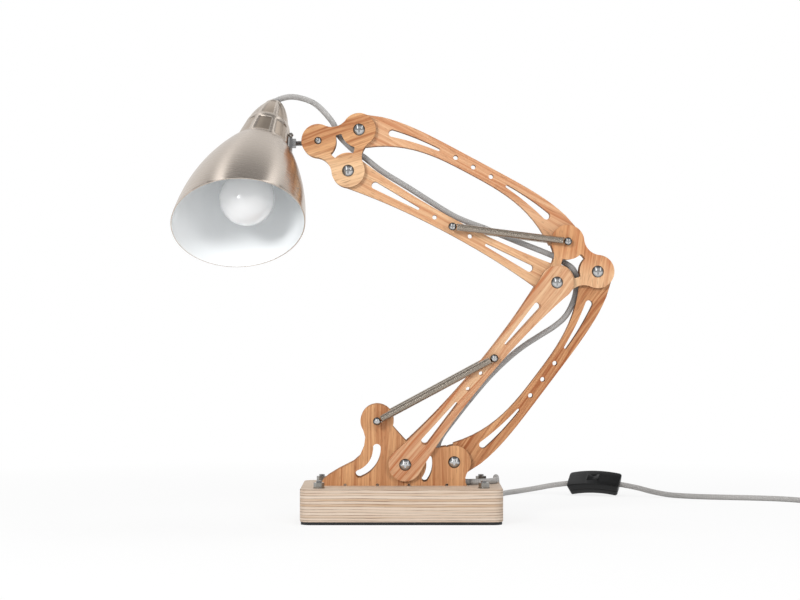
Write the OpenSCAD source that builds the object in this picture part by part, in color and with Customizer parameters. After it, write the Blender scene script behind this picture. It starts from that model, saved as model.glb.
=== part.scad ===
// Desk lamp on a swing arm of flat plywood plates.
// Every plate stands twice, in front of and behind the plane y = 0, and the
// lead runs between them. The origin is the middle of the rubber pad's
// underside, X runs along the base, Y goes back and Z goes up.

/* [Base] */
// Length of the base block
base_len = 216; // [190:1:260]
// Depth of the base block, front to back
base_dep = 144; // [130:1:160]
// Height of the block's top above the table
base_top = 37.5; // [34:0.5:50]
// Radius of the block's upright corners
base_round = 12; // [6:1:20]
// Thickness of the rubber sheet under the block
pad_thick = 3; // [2:0.5:5]
// Distance of each corner bolt from the middle, along the base
bolt_x = 88; // [80:1:90]
// Distance of each corner bolt from the middle, across the base
bolt_y = 50; // [46:1:50]

/* [Plates] */
// Thickness of each plywood plate
ply = 5; // [4:0.5:5]
// Play between neighbouring plates, which holds a washer
play = 0.5; // [0.4:0.1:0.6]
// Half the gap between the innermost plates, where the lead runs
inner_gap = 4; // [3.8:0.1:5]
// Radius of every rounded plate end
lobe_r = 18; // [16:0.5:19]

/* [Linkage] */
// Distance between the two pivots of an arm
arm_pitch = 256; // [240:1:270]
// Distance between the pivots of a three-lobed plate
tri_pitch = 46; // [44:1:48]
// Front pivot of the lower arms, along X and Z
pivot_a1 = [4, 60.5];
// Rear pivot of the lower arms, along X and Z
pivot_a2 = [57, 63];
// Slope of the lower front arms above the table, in degrees
lower_lean = 50.2; // [46:0.1:56]
// Slope of the upper arms above the table, in degrees
upper_rise = 28.2; // [20:0.1:34]
// Slope of the elbow plate's lower edge, from E1 to E2, in degrees
elbow_slope = 15; // [12:1:18]

/* [Arms] */
// Half the width of a straight arm at its middle
waist = 8.3; // [7:0.1:10]
// How far the outer edge of a bowed arm stands off its pivots' line
bow_out = 31.3; // [28:0.1:34]
// How far the inner edge of a bowed arm stands off its pivots' line
bow_in = 15; // [13:0.1:17]
// Radius of the three small holes along an arm
peg_hole_r = 2.4; // [1.5:0.1:3]

/* [Springs] */
// Post of the lower spring on the bracket, along X and Z
spring_post = [-26.4, 107.7];
// Place of the lower spring's screw, as a part of the arm's length
lower_hook_at = 0.585; // [0.5:0.005:0.6]
// Place of the upper spring's screw, as a part of the arm's length from E1
upper_hook_at = 0.5; // [0.45:0.005:0.55]
// Outside diameter of a spring
spring_d = 8; // [6:0.5:9]

/* [Head] */
// Lean of the shade's axis to the right, in degrees
shade_lean = 11; // [0:1:20]
// Roll of the shade towards the front, about the swivel rod, in degrees
shade_roll = 37; // [0:1:60]
// Radius of the shade at its mouth
mouth_r = 71; // [60:1:76]
// Length of the shade, from its neck to the middle of its mouth
shade_len = 106.5; // [95:0.5:115]
// Slant of the mouth against the shade's axis, in degrees
mouth_slant = 14; // [0:1:15]
// Length of the ribbed cover over the lampholder
cover_len = 64; // [55:1:70]
// Number of upright ribs on the cover
rib_count = 8; // [6:1:10]
// Radius of the bulb's globe
bulb_r = 29.5; // [25:0.5:30]

/* [Lead] */
// Diameter of the textile lead
lead_d = 6.3; // [5:0.1:7]
// Length of the switch on the lead
switch_len = 66; // [60:1:70]

/* [Hidden] */
eps = 0.01;
lap = 0.04;              // round slot ends reach past the corners of their slots
run_gap = 0.06;          // radial play of a bolt in its hole
shank_r = 3;             // M6 shank
head_r = 6.5;            // domed pivot head
head_h = 3.2;
spacer_r = 5.5;
washer_t = 0.4;
wood = [0.84, 0.64, 0.47];
wood_dark = [0.78, 0.56, 0.40];
ply_edge = [0.88, 0.80, 0.72];
steel = [0.72, 0.71, 0.70];
nickel = [0.70, 0.67, 0.63];
grey_cord = [0.62, 0.61, 0.60];
black = [0.08, 0.08, 0.09];

// layers of plates: 2 is the innermost, 0 the outermost
function layer_in(n) = inner_gap + (2 - n) * (ply + play);
function layer_out(n) = layer_in(n) + ply;
face_mid = layer_out(1);
face_out = layer_out(0);

function polar(r, a) = [r * cos(a), r * sin(a)];
e1 = pivot_a1 + polar(arm_pitch, lower_lean);
e2 = e1 + polar(tri_pitch, elbow_slope);
e3 = e1 + polar(tri_pitch, elbow_slope + 60);
h2 = e1 + polar(arm_pitch, 180 - upper_rise);
h1 = h2 + polar(tri_pitch, elbow_slope + 60);
h0 = h2 + polar(tri_pitch, elbow_slope + 120);
rear_pitch = norm(e2 - pivot_a2);
function dir_of(p, q) = atan2(q[1] - p[1], q[0] - p[0]);
s1 = pivot_a1 + polar(arm_pitch * lower_hook_at, lower_lean);
s3 = e1 + polar(arm_pitch * upper_hook_at, 180 - upper_rise);

// ---- helpers -------------------------------------------------------------
// lays a drawing made in X and Z out as a plate from |y| = a to |y| = b
module plate(a, b, side) {
    mirror([0, side > 0 ? 0 : 1, 0])
        translate([0, b, 0]) rotate([90, 0, 0]) linear_extrude(b - a) children();
}
// a cylinder along Y, from y = a to y = b, at the point p of the XZ plane
module pin_y(p, r, a, b, fn = 48) {
    translate([p[0], b, p[1]]) rotate([90, 0, 0]) cylinder(h = b - a, r = r, $fn = fn);
}
// a child set on the point p and turned by the angle a in the XZ plane
module at_xz(p, a = 0) {
    translate([p[0], p[1]]) rotate(a) children();
}
module both_sides() {
    children();
    mirror([0, 1, 0]) children();
}
// the same outline, walked the other way round
function reversed(p) = [for (i = [len(p) - 1:-1:0]) p[i]];
// edges of an arm, as functions of t from 0 to 1 along it
function straight_half(t) = waist + 9.7 * pow(abs(2 * t - 1), 2.15);
function bowed_outer(t) = bow_out - 12.5 * pow(abs(2 * t - 1), 4.3);
function bowed_inner(t) = bow_in - 41 * pow(abs(2 * t - 1), 3);
function bowed_mid(t) = 23 - 20 * pow(abs(2 * t - 1), 2.6);
arm_steps = 24;
peg_at = [0.415, 0.5, 0.585];

// a slot that tapers from the radius wide at t0 to narrow at t1 and follows mid(t)
module taper_slot(pitch, t0, t1, bowed) {
    n = 8;
    wide = 4;
    narrow = 1.6;
    path = [for (i = [0:n]) let (t = t0 + (t1 - t0) * i / n)
        [t * pitch, bowed ? bowed_mid(t) : 0]];
    wid = [for (i = [0:n]) wide + (narrow - wide) * i / n];
    side_a = [for (i = [0:n]) path[i] + wid[i] * normal_at(path, i)];
    side_b = [for (i = [n:-1:0]) path[i] - wid[i] * normal_at(path, i)];
    polygon(reversed(concat(side_a, side_b)));
    translate(path[0]) circle(r = wide + lap, $fn = 32);
    translate(path[n]) circle(r = narrow + lap, $fn = 24);
}
function normal_at(path, i) =
    let (a = path[max(i - 1, 0)], b = path[min(i + 1, len(path) - 1)], d = (b - a) / norm(b - a))
    [-d[1], d[0]];

module arm_slots(pitch, bowed) {
    taper_slot(pitch, 0.13, 0.335, bowed);
    taper_slot(pitch, 0.87, 0.665, bowed);
}
// hook is where along the arm the spring's screw sits, in place of the nearest peg hole
module straight_arm(pitch, end_r, hook) {
    top = [for (i = [1:arm_steps - 1]) let (t = i / arm_steps) [t * pitch, straight_half(t)]];
    low = [for (i = [arm_steps - 1:-1:1]) let (t = i / arm_steps) [t * pitch, -straight_half(t)]];
    difference() {
        union() {
            circle(r = lobe_r, $fn = 64);
            translate([pitch, 0]) circle(r = lobe_r, $fn = 64);
            polygon(reversed(concat([[-4, 13], [0.5, lobe_r + lap]], top, [[pitch - 0.5, lobe_r + lap],
                [pitch + 4, 13], [pitch + 4, -13], [pitch - 0.5, -lobe_r - lap]], low,
                [[0.5, -lobe_r - lap], [-4, -13]])));
        }
        arm_slots(pitch, false);
        for (x = [0, pitch]) translate([x, 0]) circle(r = end_r, $fn = 48);
        for (t = peg_at) if (abs(t - hook) > 0.035)
            translate([t * pitch, 0]) circle(r = peg_hole_r, $fn = 32);
        translate([hook * pitch, 0]) circle(r = screw_r + run_gap, $fn = 32);
    }
}
// bowed towards +Y of its own drawing
module bowed_arm(pitch, end_r, far_r) {
    first = 0.06;
    span = 1 - 2 * first;
    top = [for (i = [0:arm_steps]) let (t = first + span * i / arm_steps) [t * pitch, bowed_outer(t)]];
    low = [for (i = [arm_steps:-1:0]) let (t = first + span * i / arm_steps)
        [t * pitch, max(bowed_inner(t), -lobe_r + 2)]];
    difference() {
        union() {
            circle(r = lobe_r, $fn = 64);
            translate([pitch, 0]) circle(r = lobe_r, $fn = 64);
            polygon(reversed(concat([[1, -6], [-7.5, 15.7]], top, [[pitch + 7.5, 15.7], [pitch - 1, -6]],
                low)));
        }
        arm_slots(pitch, true);
        circle(r = end_r, $fn = 48);
        translate([pitch, 0]) circle(r = far_r, $fn = 48);
        for (t = peg_at) translate([t * pitch, 23]) circle(r = peg_hole_r + 0.2, $fn = 32);
    }
}
// three lobes on a triangle; the first lobe is at the origin, the second along +X
module trefoil(r0, r1, r2) {
    high = tri_pitch * sqrt(3) / 2;
    lobes = [[0, 0], [tri_pitch, 0], [tri_pitch / 2, high]];
    mid = [tri_pitch / 2, high / 3];
    bites = 18.4;
    bite_at = 9.8 + bites;
    bores = [r0, r1, r2];
    difference() {
        union() {
            for (p = lobes) translate(p) circle(r = lobe_r, $fn = 64);
            for (k = [0:2]) translate(mid) rotate(120 * k)
                polygon([[0, 2], [-tri_pitch / 2 - 1, -high / 3], [-11, -high / 3 - 12.9],
                         [11, -high / 3 - 12.9], [tri_pitch / 2 + 1, -high / 3]]);
        }
        for (k = [0:2]) translate(mid) rotate(120 * k)
            translate([0, -high / 3 - bite_at]) circle(r = bites, $fn = 64);
        difference() {
            translate(mid) circle(r = high / 3 + 0.6, $fn = 48);
            for (p = lobes) translate(p) circle(r = 19.6, $fn = 64);
        }
        for (k = [0:2]) translate(lobes[k]) circle(r = bores[k], $fn = 48);
    }
}

// a solid tube swept along points, with rings square to the path
function catmull(a, b, c, d, t) =
    0.5 * ((2 * b) + (c - a) * t + (2 * a - 5 * b + 4 * c - d) * t * t
           + (3 * b - a - 3 * c + d) * t * t * t);
function smooth_path(p, n) =
    let (m = len(p) - 1)
    concat([for (i = [0:m - 1], k = [0:n - 1])
        catmull(i == 0 ? 2 * p[0] - p[1] : p[i - 1], p[i], p[i + 1],
                i == m - 1 ? 2 * p[m] - p[m - 1] : p[i + 2], k / n)], [p[m]]);
function unit(v) = v / norm(v);
// before and after are the points past the two ends, where the tube carries on in another piece
function heading(p, i, before, after) =
    unit((i == len(p) - 1 ? after : p[i + 1]) - (i == 0 ? before : p[i - 1]));
module tube(points, d, sides, across, before, after) {
    n = len(points);
    verts = [for (i = [0:n - 1])
        let (t = heading(points, i, before, after), u = unit(cross(across, t)), v = cross(t, u))
        for (k = [0:sides - 1])
            points[i] + d / 2 * (cos(360 * k / sides) * u + sin(360 * k / sides) * v)];
    walls = [for (i = [0:n - 2], k = [0:sides - 1]) let (j = (k + 1) % sides)
        [i * sides + k, i * sides + j, (i + 1) * sides + j, (i + 1) * sides + k]];
    caps = [[for (k = [sides - 1:-1:0]) k], [for (k = [0:sides - 1]) (n - 1) * sides + k]];
    polyhedron(points = verts, faces = [for (f = concat(walls, caps)) [for (k = [len(f) - 1:-1:0]) f[k]]],
               convexity = 10);
}
lead_sides = 10;

// ---- fasteners -----------------------------------------------------------
// domed head with a cross recess, its flat side at y = 0, standing out to +Y
module domed_head(r, h, recess) {
    ball = (r * r + h * h) / (2 * h);
    difference() {
        rotate([-90, 0, 0]) rotate_extrude($fn = 48)
            intersection() {
                translate([0, h - ball]) circle(r = ball, $fn = 96);
                square([r, h]);
            }
        if (recess) for (a = [0, 90]) rotate([0, a, 0])
            translate([-r * 0.52, h * 0.45, -r * 0.12]) cube([r * 1.04, h, r * 0.24]);
    }
}
// bolt through both sides with a domed head on each outer face
module pivot_bolt(p, face) {
    pin_y(p, shank_r, -face - eps, face + eps);
    both_sides() translate([p[0], face, p[1]]) domed_head(head_r, head_h, true);
}
module spacer(p, half) {
    difference() {
        pin_y(p, spacer_r, -half, half);
        pin_y(p, shank_r + run_gap, -half - 1, half + 1);
    }
}
module washer(p, y) {
    both_sides() difference() {
        pin_y(p, 8, y - washer_t / 2, y + washer_t / 2);
        pin_y(p, shank_r + run_gap, y - 1, y + 1);
    }
}
inner_washer_y = layer_out(2) + play / 2;
outer_washer_y = layer_out(1) + play / 2;
inner_spacer = inner_gap - 0.1;
wide_spacer = layer_in(1) - 0.1;
screw_r = 2;                        // M4 spring screws
sleeve_r = 3.2;
hook_wire = 1.4;
stem_r = 0.6;
lower_spring_y = face_out + spring_d / 2 + 0.5;
upper_spring_y = face_mid + spring_d / 2 + 0.5;
// screw and sleeve that hold a spring's hook; from |y| = a in the plate to the hook
module spring_screw(p, a, face, hook_y) {
    both_sides() {
        pin_y(p, screw_r, a, hook_y + hook_wire / 2 + eps, 32);
        difference() {
            pin_y(p, sleeve_r, face, hook_y - hook_wire / 2 - 0.1, 32);
            pin_y(p, screw_r - eps, face - 1, hook_y, 32);
        }
        translate([p[0], hook_y + hook_wire / 2 + 0.1, p[1]]) domed_head(4.3, 2.6, true);
    }
}

// ---- base ----------------------------------------------------------------
module rounded_slab(l, w, r, h) {
    linear_extrude(h) union() {
        square([l - 2 * r, w], center = true);
        square([l, w - 2 * r], center = true);
        for (x = [-1, 1], y = [-1, 1]) translate([x * (l / 2 - r), y * (w / 2 - r)])
            circle(r = r, $fn = 64);
    }
}
weight_size = [148, 82, 6];
tenon_deep = 12;
tenons = [[-61, -26], [8, 49]];
module at_corners() {
    for (x = [-1, 1], y = [-1, 1]) translate([x * bolt_x, y * bolt_y, 0]) children();
}
module base_block() {
    color(ply_edge) difference() {
        translate([0, 0, pad_thick])
            rounded_slab(base_len, base_dep, base_round, base_top - pad_thick);
        translate([0, 0, pad_thick + weight_size[2] / 2 - 0.5])
            cube(weight_size + [0.6, 0.6, 1.2], center = true);
        at_corners() {
            cylinder(h = 60, r = shank_r + run_gap, $fn = 48);
            translate([0, 0, pad_thick - 1]) cylinder(h = 6, r = 6.5, $fn = 48);
        }
        for (side = [-1, 1], t = tenons)
            translate([t[0] - 0.1, side > 0 ? layer_in(1) - 0.1 : -layer_out(1) - 0.1,
                       base_top - tenon_deep - 0.2])
                cube([t[1] - t[0] + 0.2, ply + 0.2, tenon_deep + 1]);
    }
}
module base_pad() {
    color(black) rounded_slab(base_len - 2, base_dep - 2, base_round - 1, pad_thick);
}
module base_weight() {
    color(steel) translate([0, 0, pad_thick + weight_size[2] / 2])
        cube(weight_size, center = true);
}
nut_z = base_top + 1;
module base_bolts() {
    color(steel) at_corners() {
        translate([0, 0, pad_thick + 0.2]) cylinder(h = 4, r = 6, $fn = 48);
        translate([0, 0, pad_thick + 4]) cylinder(h = nut_z + 7 - pad_thick - 4, r = shank_r, $fn = 48);
    }
}
module base_nuts() {
    color(steel) at_corners() difference() {
        union() {
            translate([0, 0, base_top]) cylinder(h = 1, r = 6.2, $fn = 48);
            translate([0, 0, nut_z]) cylinder(h = 5, r = 5.77, $fn = 6);
        }
        cylinder(h = 80, r = shank_r + run_gap, $fn = 48);
    }
}

// outline of a side bracket in X and Z, without its two tenons
post_c = spring_post;
module bracket_outline() {
    front = [[-85.5, 37.5], [-85.5, 43], [-79, 48.5], [-67.5, 55.5], [-52, 63.3],
             [-45, 69.5], [-40.5, 80], [-39.2, 90], [-41.6, 98.2]];
    back = [[-9.5, 101.5], [-4.2, 95.5], [4, 86.5], [14.5, 80.5], [27, 78], [40, 78.6], [48.5, 79.8]];
    heel = [[72.8, 54.5], [70.4, 50.5], [69.2, 46.5], [69.2, 41], [70.8, 37.5]];
    translate(post_c) circle(r = lobe_r, $fn = 64);
    translate(pivot_a2) circle(r = lobe_r, $fn = 64);
    polygon(reversed(concat(front, [post_c + polar(16.5, 195), post_c + polar(3, 90), post_c + polar(16.5, 335)],
                   back, [pivot_a2 + [3, -2]], heel)));
}
// a slot of half-width w along an arc about c
module arc_slot(c, r, a0, a1, w) {
    n = 10;
    outer = [for (i = [0:n]) c + polar(r + w, a0 + (a1 - a0) * i / n)];
    inner = [for (i = [n:-1:0]) c + polar(r - w, a0 + (a1 - a0) * i / n)];
    polygon(concat(outer, inner));
    for (a = [a0, a1]) translate(c + polar(r, a)) circle(r = w + lap, $fn = 32);
}
module bracket(side) {
    color(wood_dark) plate(layer_in(1), layer_out(1), side) difference() {
        union() {
            bracket_outline();
            for (t = tenons) translate([t[0], base_top - tenon_deep])
                square([t[1] - t[0], tenon_deep + 1]);
        }
        arc_slot([-55.5, 77.4], 28.8, -70, 2, 4.2);
        arc_slot(pivot_a1, 26.2, -36, 14, 3.3);
        for (t = tenons, x = t) translate([x, base_top + 0.6]) circle(r = 1.7, $fn = 24);
        for (p = [pivot_a1, pivot_a2]) translate(p) circle(r = shank_r + run_gap, $fn = 48);
        translate(spring_post) circle(r = screw_r + run_gap, $fn = 32);
    }
}
module bracket_near() { bracket(-1); }
module bracket_far() { bracket(1); }
module base_pivot_bolts() {
    color(steel) {
        pivot_bolt(pivot_a1, face_out + run_gap);
        pivot_bolt(pivot_a2, face_mid + run_gap);
    }
}
module base_spacers() {
    color(steel) {
        spacer(pivot_a1, wide_spacer);
        spacer(pivot_a2, inner_spacer);
        washer(pivot_a1, outer_washer_y);
        washer(pivot_a2, inner_washer_y);
    }
}
module base_spring_screws() {
    color(steel) spring_screw(spring_post, layer_in(1) + 0.5, face_mid, lower_spring_y);
}

// ---- arms and three-lobed plates ------------------------------------------
hole_r = shank_r + run_gap;
open_r = 4.3;    // the open pivot of the lower linkage has room to spare
module lower_front_arm(side) {
    color(wood) plate(layer_in(0), layer_out(0), side)
        at_xz(pivot_a1, lower_lean) straight_arm(arm_pitch, hole_r, lower_hook_at);
}
module lower_front_arm_near() { lower_front_arm(-1); }
module lower_front_arm_far() { lower_front_arm(1); }
module lower_rear_arm(side) {
    color(wood_dark) plate(layer_in(2), layer_out(2), side)
        at_xz(pivot_a2, dir_of(pivot_a2, e2)) mirror([0, 1]) bowed_arm(rear_pitch, hole_r, open_r);
}
module lower_rear_arm_near() { lower_rear_arm(-1); }
module lower_rear_arm_far() { lower_rear_arm(1); }
module lower_arm_screws() {
    color(steel) spring_screw(s1, layer_in(0) + 0.5, face_out, lower_spring_y);
}
module elbow_plate(side) {
    color(wood) plate(layer_in(1), layer_out(1), side)
        at_xz(e1, elbow_slope) trefoil(hole_r, hole_r, hole_r);
}
module elbow_plate_near() { elbow_plate(-1); }
module elbow_plate_far() { elbow_plate(1); }
module elbow_pivot_bolts() {
    color(steel) {
        pivot_bolt(e1, face_out + run_gap);
        pivot_bolt(e2, face_mid + run_gap);
        pin_y(e3, shank_r, -face_mid, face_mid);
        spring_screw(e3, face_mid - 1, face_mid, upper_spring_y);
    }
}
module elbow_spacers() {
    color(steel) {
        for (p = [e1, e2, e3]) {
            spacer(p, inner_spacer);
            washer(p, inner_washer_y);
        }
        washer(e1, outer_washer_y);
    }
}
module upper_top_arm(side) {
    color(wood) plate(layer_in(2), layer_out(2), side)
        at_xz(h1, dir_of(h1, e3)) bowed_arm(arm_pitch, hole_r, hole_r);
}
module upper_top_arm_near() { upper_top_arm(-1); }
module upper_top_arm_far() { upper_top_arm(1); }
module upper_bottom_arm(side) {
    color(wood) plate(layer_in(2), layer_out(2), side)
        at_xz(e1, dir_of(e1, h2)) straight_arm(arm_pitch, hole_r, upper_hook_at);
}
module upper_bottom_arm_near() { upper_bottom_arm(-1); }
module upper_bottom_arm_far() { upper_bottom_arm(1); }
module upper_arm_screws() {
    color(steel) spring_screw(s3, layer_in(2) + 0.5, layer_out(2), upper_spring_y);
}
module head_plate(side) {
    color(wood_dark) plate(layer_in(1), layer_out(1), side)
        at_xz(h2, elbow_slope + 60) trefoil(hole_r, hole_r, screw_r + run_gap);
}
module head_plate_near() { head_plate(-1); }
module head_plate_far() { head_plate(1); }
module head_pivot_bolts() {
    color(steel) for (p = [h1, h2]) pivot_bolt(p, face_mid + run_gap);
}
module head_spacers() {
    color(steel) for (p = [h1, h2]) {
        spacer(p, inner_spacer);
        washer(p, inner_washer_y);
    }
}

// ---- springs ---------------------------------------------------------------
// Each spring is a close-wound tube with a hook at its fixed end; the hook at its
// moving end is a piece of its own, because it travels as the spring stretches.
hook_mid_r = 3.3;
coil_from = 7;                      // from a hook's middle to the first turn
module hook_ring(p, y) {
    translate([p[0], y, p[1]]) rotate([90, 0, 0]) rotate_extrude($fn = 48)
        translate([hook_mid_r, 0]) circle(r = hook_wire / 2, $fn = 16);
}
module along(p, q) {
    translate([p[0], 0, p[1]]) rotate([0, 90 - dir_of(p, q), 0]) children();
}
module spring(p, q, y) {
    long = norm(q - p) - 2 * coil_from;
    color(nickel) {
        hook_ring(p, y);
        along(p, q) translate([0, y, 0]) {
            translate([0, 0, hook_mid_r]) cylinder(h = coil_from - hook_mid_r + 0.5, r = stem_r, $fn = 16);
            translate([0, 0, coil_from]) difference() {
                cylinder(h = long, r = spring_d / 2, $fn = 32);
                translate([0, 0, 0.8]) cylinder(h = long, r = spring_d / 2 - 1, $fn = 32);
            }
        }
    }
}
module spring_tip(p, q, y) {
    color(nickel) both_sides() {
        hook_ring(q, y);
        along(q, p) translate([0, y, 0]) {
            translate([0, 0, hook_mid_r]) cylinder(h = coil_from - hook_mid_r - 0.4, r = stem_r, $fn = 16);
            translate([0, 0, coil_from - 0.7]) cylinder(h = 0.6, r = spring_d / 2 - 0.4, $fn = 32);
        }
    }
}
module lower_spring_near() { spring(spring_post, s1, -lower_spring_y); }
module lower_spring_far() { spring(spring_post, s1, lower_spring_y); }
module lower_spring_hooks() { spring_tip(spring_post, s1, lower_spring_y); }
module upper_spring_near() { spring(e3, s3, -upper_spring_y); }
module upper_spring_far() { spring(e3, s3, upper_spring_y); }
module upper_spring_hooks() { spring_tip(e3, s3, upper_spring_y); }

// ---- head: swivel, shade, lampholder, bulb ----------------------------------
rod_r = 2.9;
rod_z = h0[1] - 2.2;                // the rod passes just under the side screws
block_half = layer_in(1) - 0.2;
block_r = 8.5;
neck_x = -151.4;
neck_drop = 6.5;                    // from the rod's axis down to the shade's neck
lug_x = [-121.9, -118.7];
module swivel_block() {
    color(steel) difference() {
        pin_y(h0, block_r, -block_half, block_half);
        translate([h0[0] - 20, 0, rod_z]) rotate([0, 90, 0]) cylinder(h = 40, r = rod_r + run_gap, $fn = 48);
        both_sides() pin_y(h0, screw_r + run_gap / 2, 4, 12, 32);
    }
}
module swivel_screws() {
    color(steel) both_sides() {
        pin_y(h0, screw_r, 4.2, face_mid + 0.2, 32);
        difference() {
            translate([h0[0], face_mid + 0.1, h0[1]]) domed_head(4, 2.4, false);
            translate([h0[0], face_mid + 4, h0[1]]) rotate([90, 0, 0]) cylinder(h = 2.8, r = 1.45, $fn = 6);
        }
    }
}
module swivel_rod() {
    color(steel) translate([lug_x[0] + 0.4, 0, rod_z]) rotate([0, 90, 0])
        cylinder(h = h0[0] + 14.5 - lug_x[0] - 0.4, r = rod_r, $fn = 48);
}
module rod_nuts() {
    color(steel) for (x = [h0[0] + block_r + 0.8, lug_x[1] + 0.1])
        translate([x, 0, rod_z]) rotate([0, 90, 0]) difference() {
            cylinder(h = 4, r = 5.2, $fn = 6);
            translate([0, 0, -1]) cylinder(h = 6, r = rod_r + run_gap, $fn = 48);
        }
}
// frame of the shade: origin at the middle of its neck, Z towards the cover
module in_shade() {
    translate([neck_x, 0, rod_z]) rotate([-shade_roll, 0, 0]) translate([0, 0, -neck_drop])
        rotate([0, shade_lean, 0]) children();
}
module in_rod_frame() {
    translate([0, 0, rod_z]) rotate([-shade_roll, 0, 0]) children();
}
shade_wall = 1.2;
neck_r = 31.9;
blank_len = shade_len + 25.5;       // the shade is cut at a slant from a longer bell
slant_way = -14.6;                  // the long side faces away from the arm
// radius of the bell at the depth s, from 0 at the neck to 1 at its far end
function shade_r(s) = neck_r + (mouth_r - neck_r) * (1 - pow(1 - s, 2.2));
// radius of the cover at the height s, from 0 at the neck to 1 at its top
function cover_r(s) = 29.6 - 12 * s - 9.3 * pow(s, 4);
module shade() {
    n = 30;
    outer = [for (i = [0:n]) [shade_r(i / n), -blank_len * i / n]];
    inner = [for (i = [n:-1:0]) [shade_r(i / n) - shade_wall, -blank_len * i / n - (i == 0 ? shade_wall : 0)]];
    color(nickel) in_shade() difference() {
        rotate_extrude($fn = 96)
            polygon(concat([[holder_r + 0.3, -shade_wall], [holder_r + 0.3, 0]], outer, inner));
        translate([0, 0, -shade_len]) rotate([0, 0, slant_way]) rotate([0, -mouth_slant - 0.26, 0])
            translate([-150, -150, -200]) cube([300, 300, 200]);
    }
}
holder_r = 19;
lug_gap = 0.15;
cover_hole = lead_d / 2 + 0.7;
module lampholder_cover() {
    n = 16;
    outer = [for (i = [0:n]) [cover_r(i / n), 0.1 + (cover_len - 0.1) * i / n]];
    inner = [for (i = [n:-1:0]) [cover_r(i / n) - 1.3, 0.1 + (cover_len - 1.4) * i / n]];
    rib = [for (i = [0:n]) [cover_r(i / n) + 0.9 - 0.5 * i / n, 0.1 + (cover_len - 2) * i / n]];
    rib_in = [for (i = [n:-1:0]) [cover_r(i / n) - 0.5, 0.1 + (cover_len - 2) * i / n]];
    color(nickel) difference() {
        in_shade() union() {
            rotate_extrude($fn = 96) polygon(concat(outer, [[cover_hole, cover_len], [cover_hole, cover_len - 1.3]],
                                                  inner));
            for (k = [0:rib_count - 1]) rotate(360 * (k + 0.5) / rib_count)
                rotate([0, 0, -4.5]) rotate_extrude(angle = 9, $fn = 96) polygon(concat(rib, rib_in));
            translate([0, 0, cover_len * 0.45]) rotate_extrude($fn = 96)
                translate([cover_r(0.45) - 0.2, 0]) circle(r = 1.1, $fn = 20);
        }
        lug_foot(lug_gap);
    }
}
// lug that carries the rod: a tab beside the cover, with a foot that lies under it
module lug_foot(grow) {
    in_shade() translate([20 - grow, -5.2 - grow, 0.12 - grow])
        cube([10.2 + 2 * grow, 10.4 + 2 * grow, 1.6 + 2 * grow]);
}
module shade_lug() {
    color(steel) difference() {
        union() {
            in_rod_frame() translate([lug_x[0], -6, -11.3]) cube([lug_x[1] - lug_x[0], 12, 21.5]);
            lug_foot(0);
        }
        in_rod_frame() translate([lug_x[0] - 5, 0, 0]) rotate([0, 90, 0])
            cylinder(h = 20, r = rod_r + run_gap, $fn = 48);
        in_rod_frame() pin_y([(lug_x[0] + lug_x[1]) / 2, 6.6], 1.25, -7, -0.5, 24);
    }
}
module lug_screw() {
    color(steel) in_rod_frame() {
        pin_y([(lug_x[0] + lug_x[1]) / 2, 6.6], 1.2, -6.2, -1, 24);
        translate([(lug_x[0] + lug_x[1]) / 2, -6.1, 6.6]) mirror([0, 1, 0]) domed_head(2.9, 2.2, true);
    }
}
// lampholder: sleeve through the shade, ring nut under it and closed top
module lampholder() {
    color([0.93, 0.92, 0.90]) in_shade() difference() {
        union() {
            translate([0, 0, -26]) cylinder(h = 52, r = holder_r, $fn = 64);
            translate([0, 0, 26 - eps]) cylinder(h = 14, r1 = holder_r, r2 = 9, $fn = 64);
            translate([0, 0, -7]) cylinder(h = 7 - shade_wall - 0.05, r = 26, $fn = 64);
        }
        translate([0, 0, -27]) cylinder(h = 33, r = 13.5, $fn = 64);
        translate([0, 0, 26]) cylinder(h = 20, r = lead_d / 2 + 0.1, $fn = 32);
    }
}
bulb_z = -72;
module bulb_globe() {
    color([0.96, 0.96, 0.95]) in_shade() rotate_extrude($fn = 64)
        intersection() {
            union() {
                translate([0, bulb_z]) circle(r = bulb_r, $fn = 96);
                polygon([[0, bulb_z], [27.6, bulb_z + 10.5], [22.5, bulb_z + 24], [17.5, bulb_z + 34],
                         [14.2, bulb_z + 42], [13, -25], [0, -25]]);
            }
            translate([0, -120]) square([60, 95]);
        }
}
module bulb_cap() {
    color(steel) in_shade() {
        translate([0, 0, -24.9]) cylinder(h = 24, r = 13, $fn = 48);
        translate([0, 0, -0.9]) cylinder(h = 5, r1 = 11, r2 = 5, $fn = 48);
    }
}
module cord_grip() {
    color(nickel) in_shade() translate([0, 0, cover_len + 0.1]) difference() {
        cylinder(h = 4, r1 = 7.4, r2 = 5.4, $fn = 48);
        translate([0, 0, -1]) cylinder(h = 6, r = lead_d / 2 + 0.1, $fn = 32);
    }
}

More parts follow.
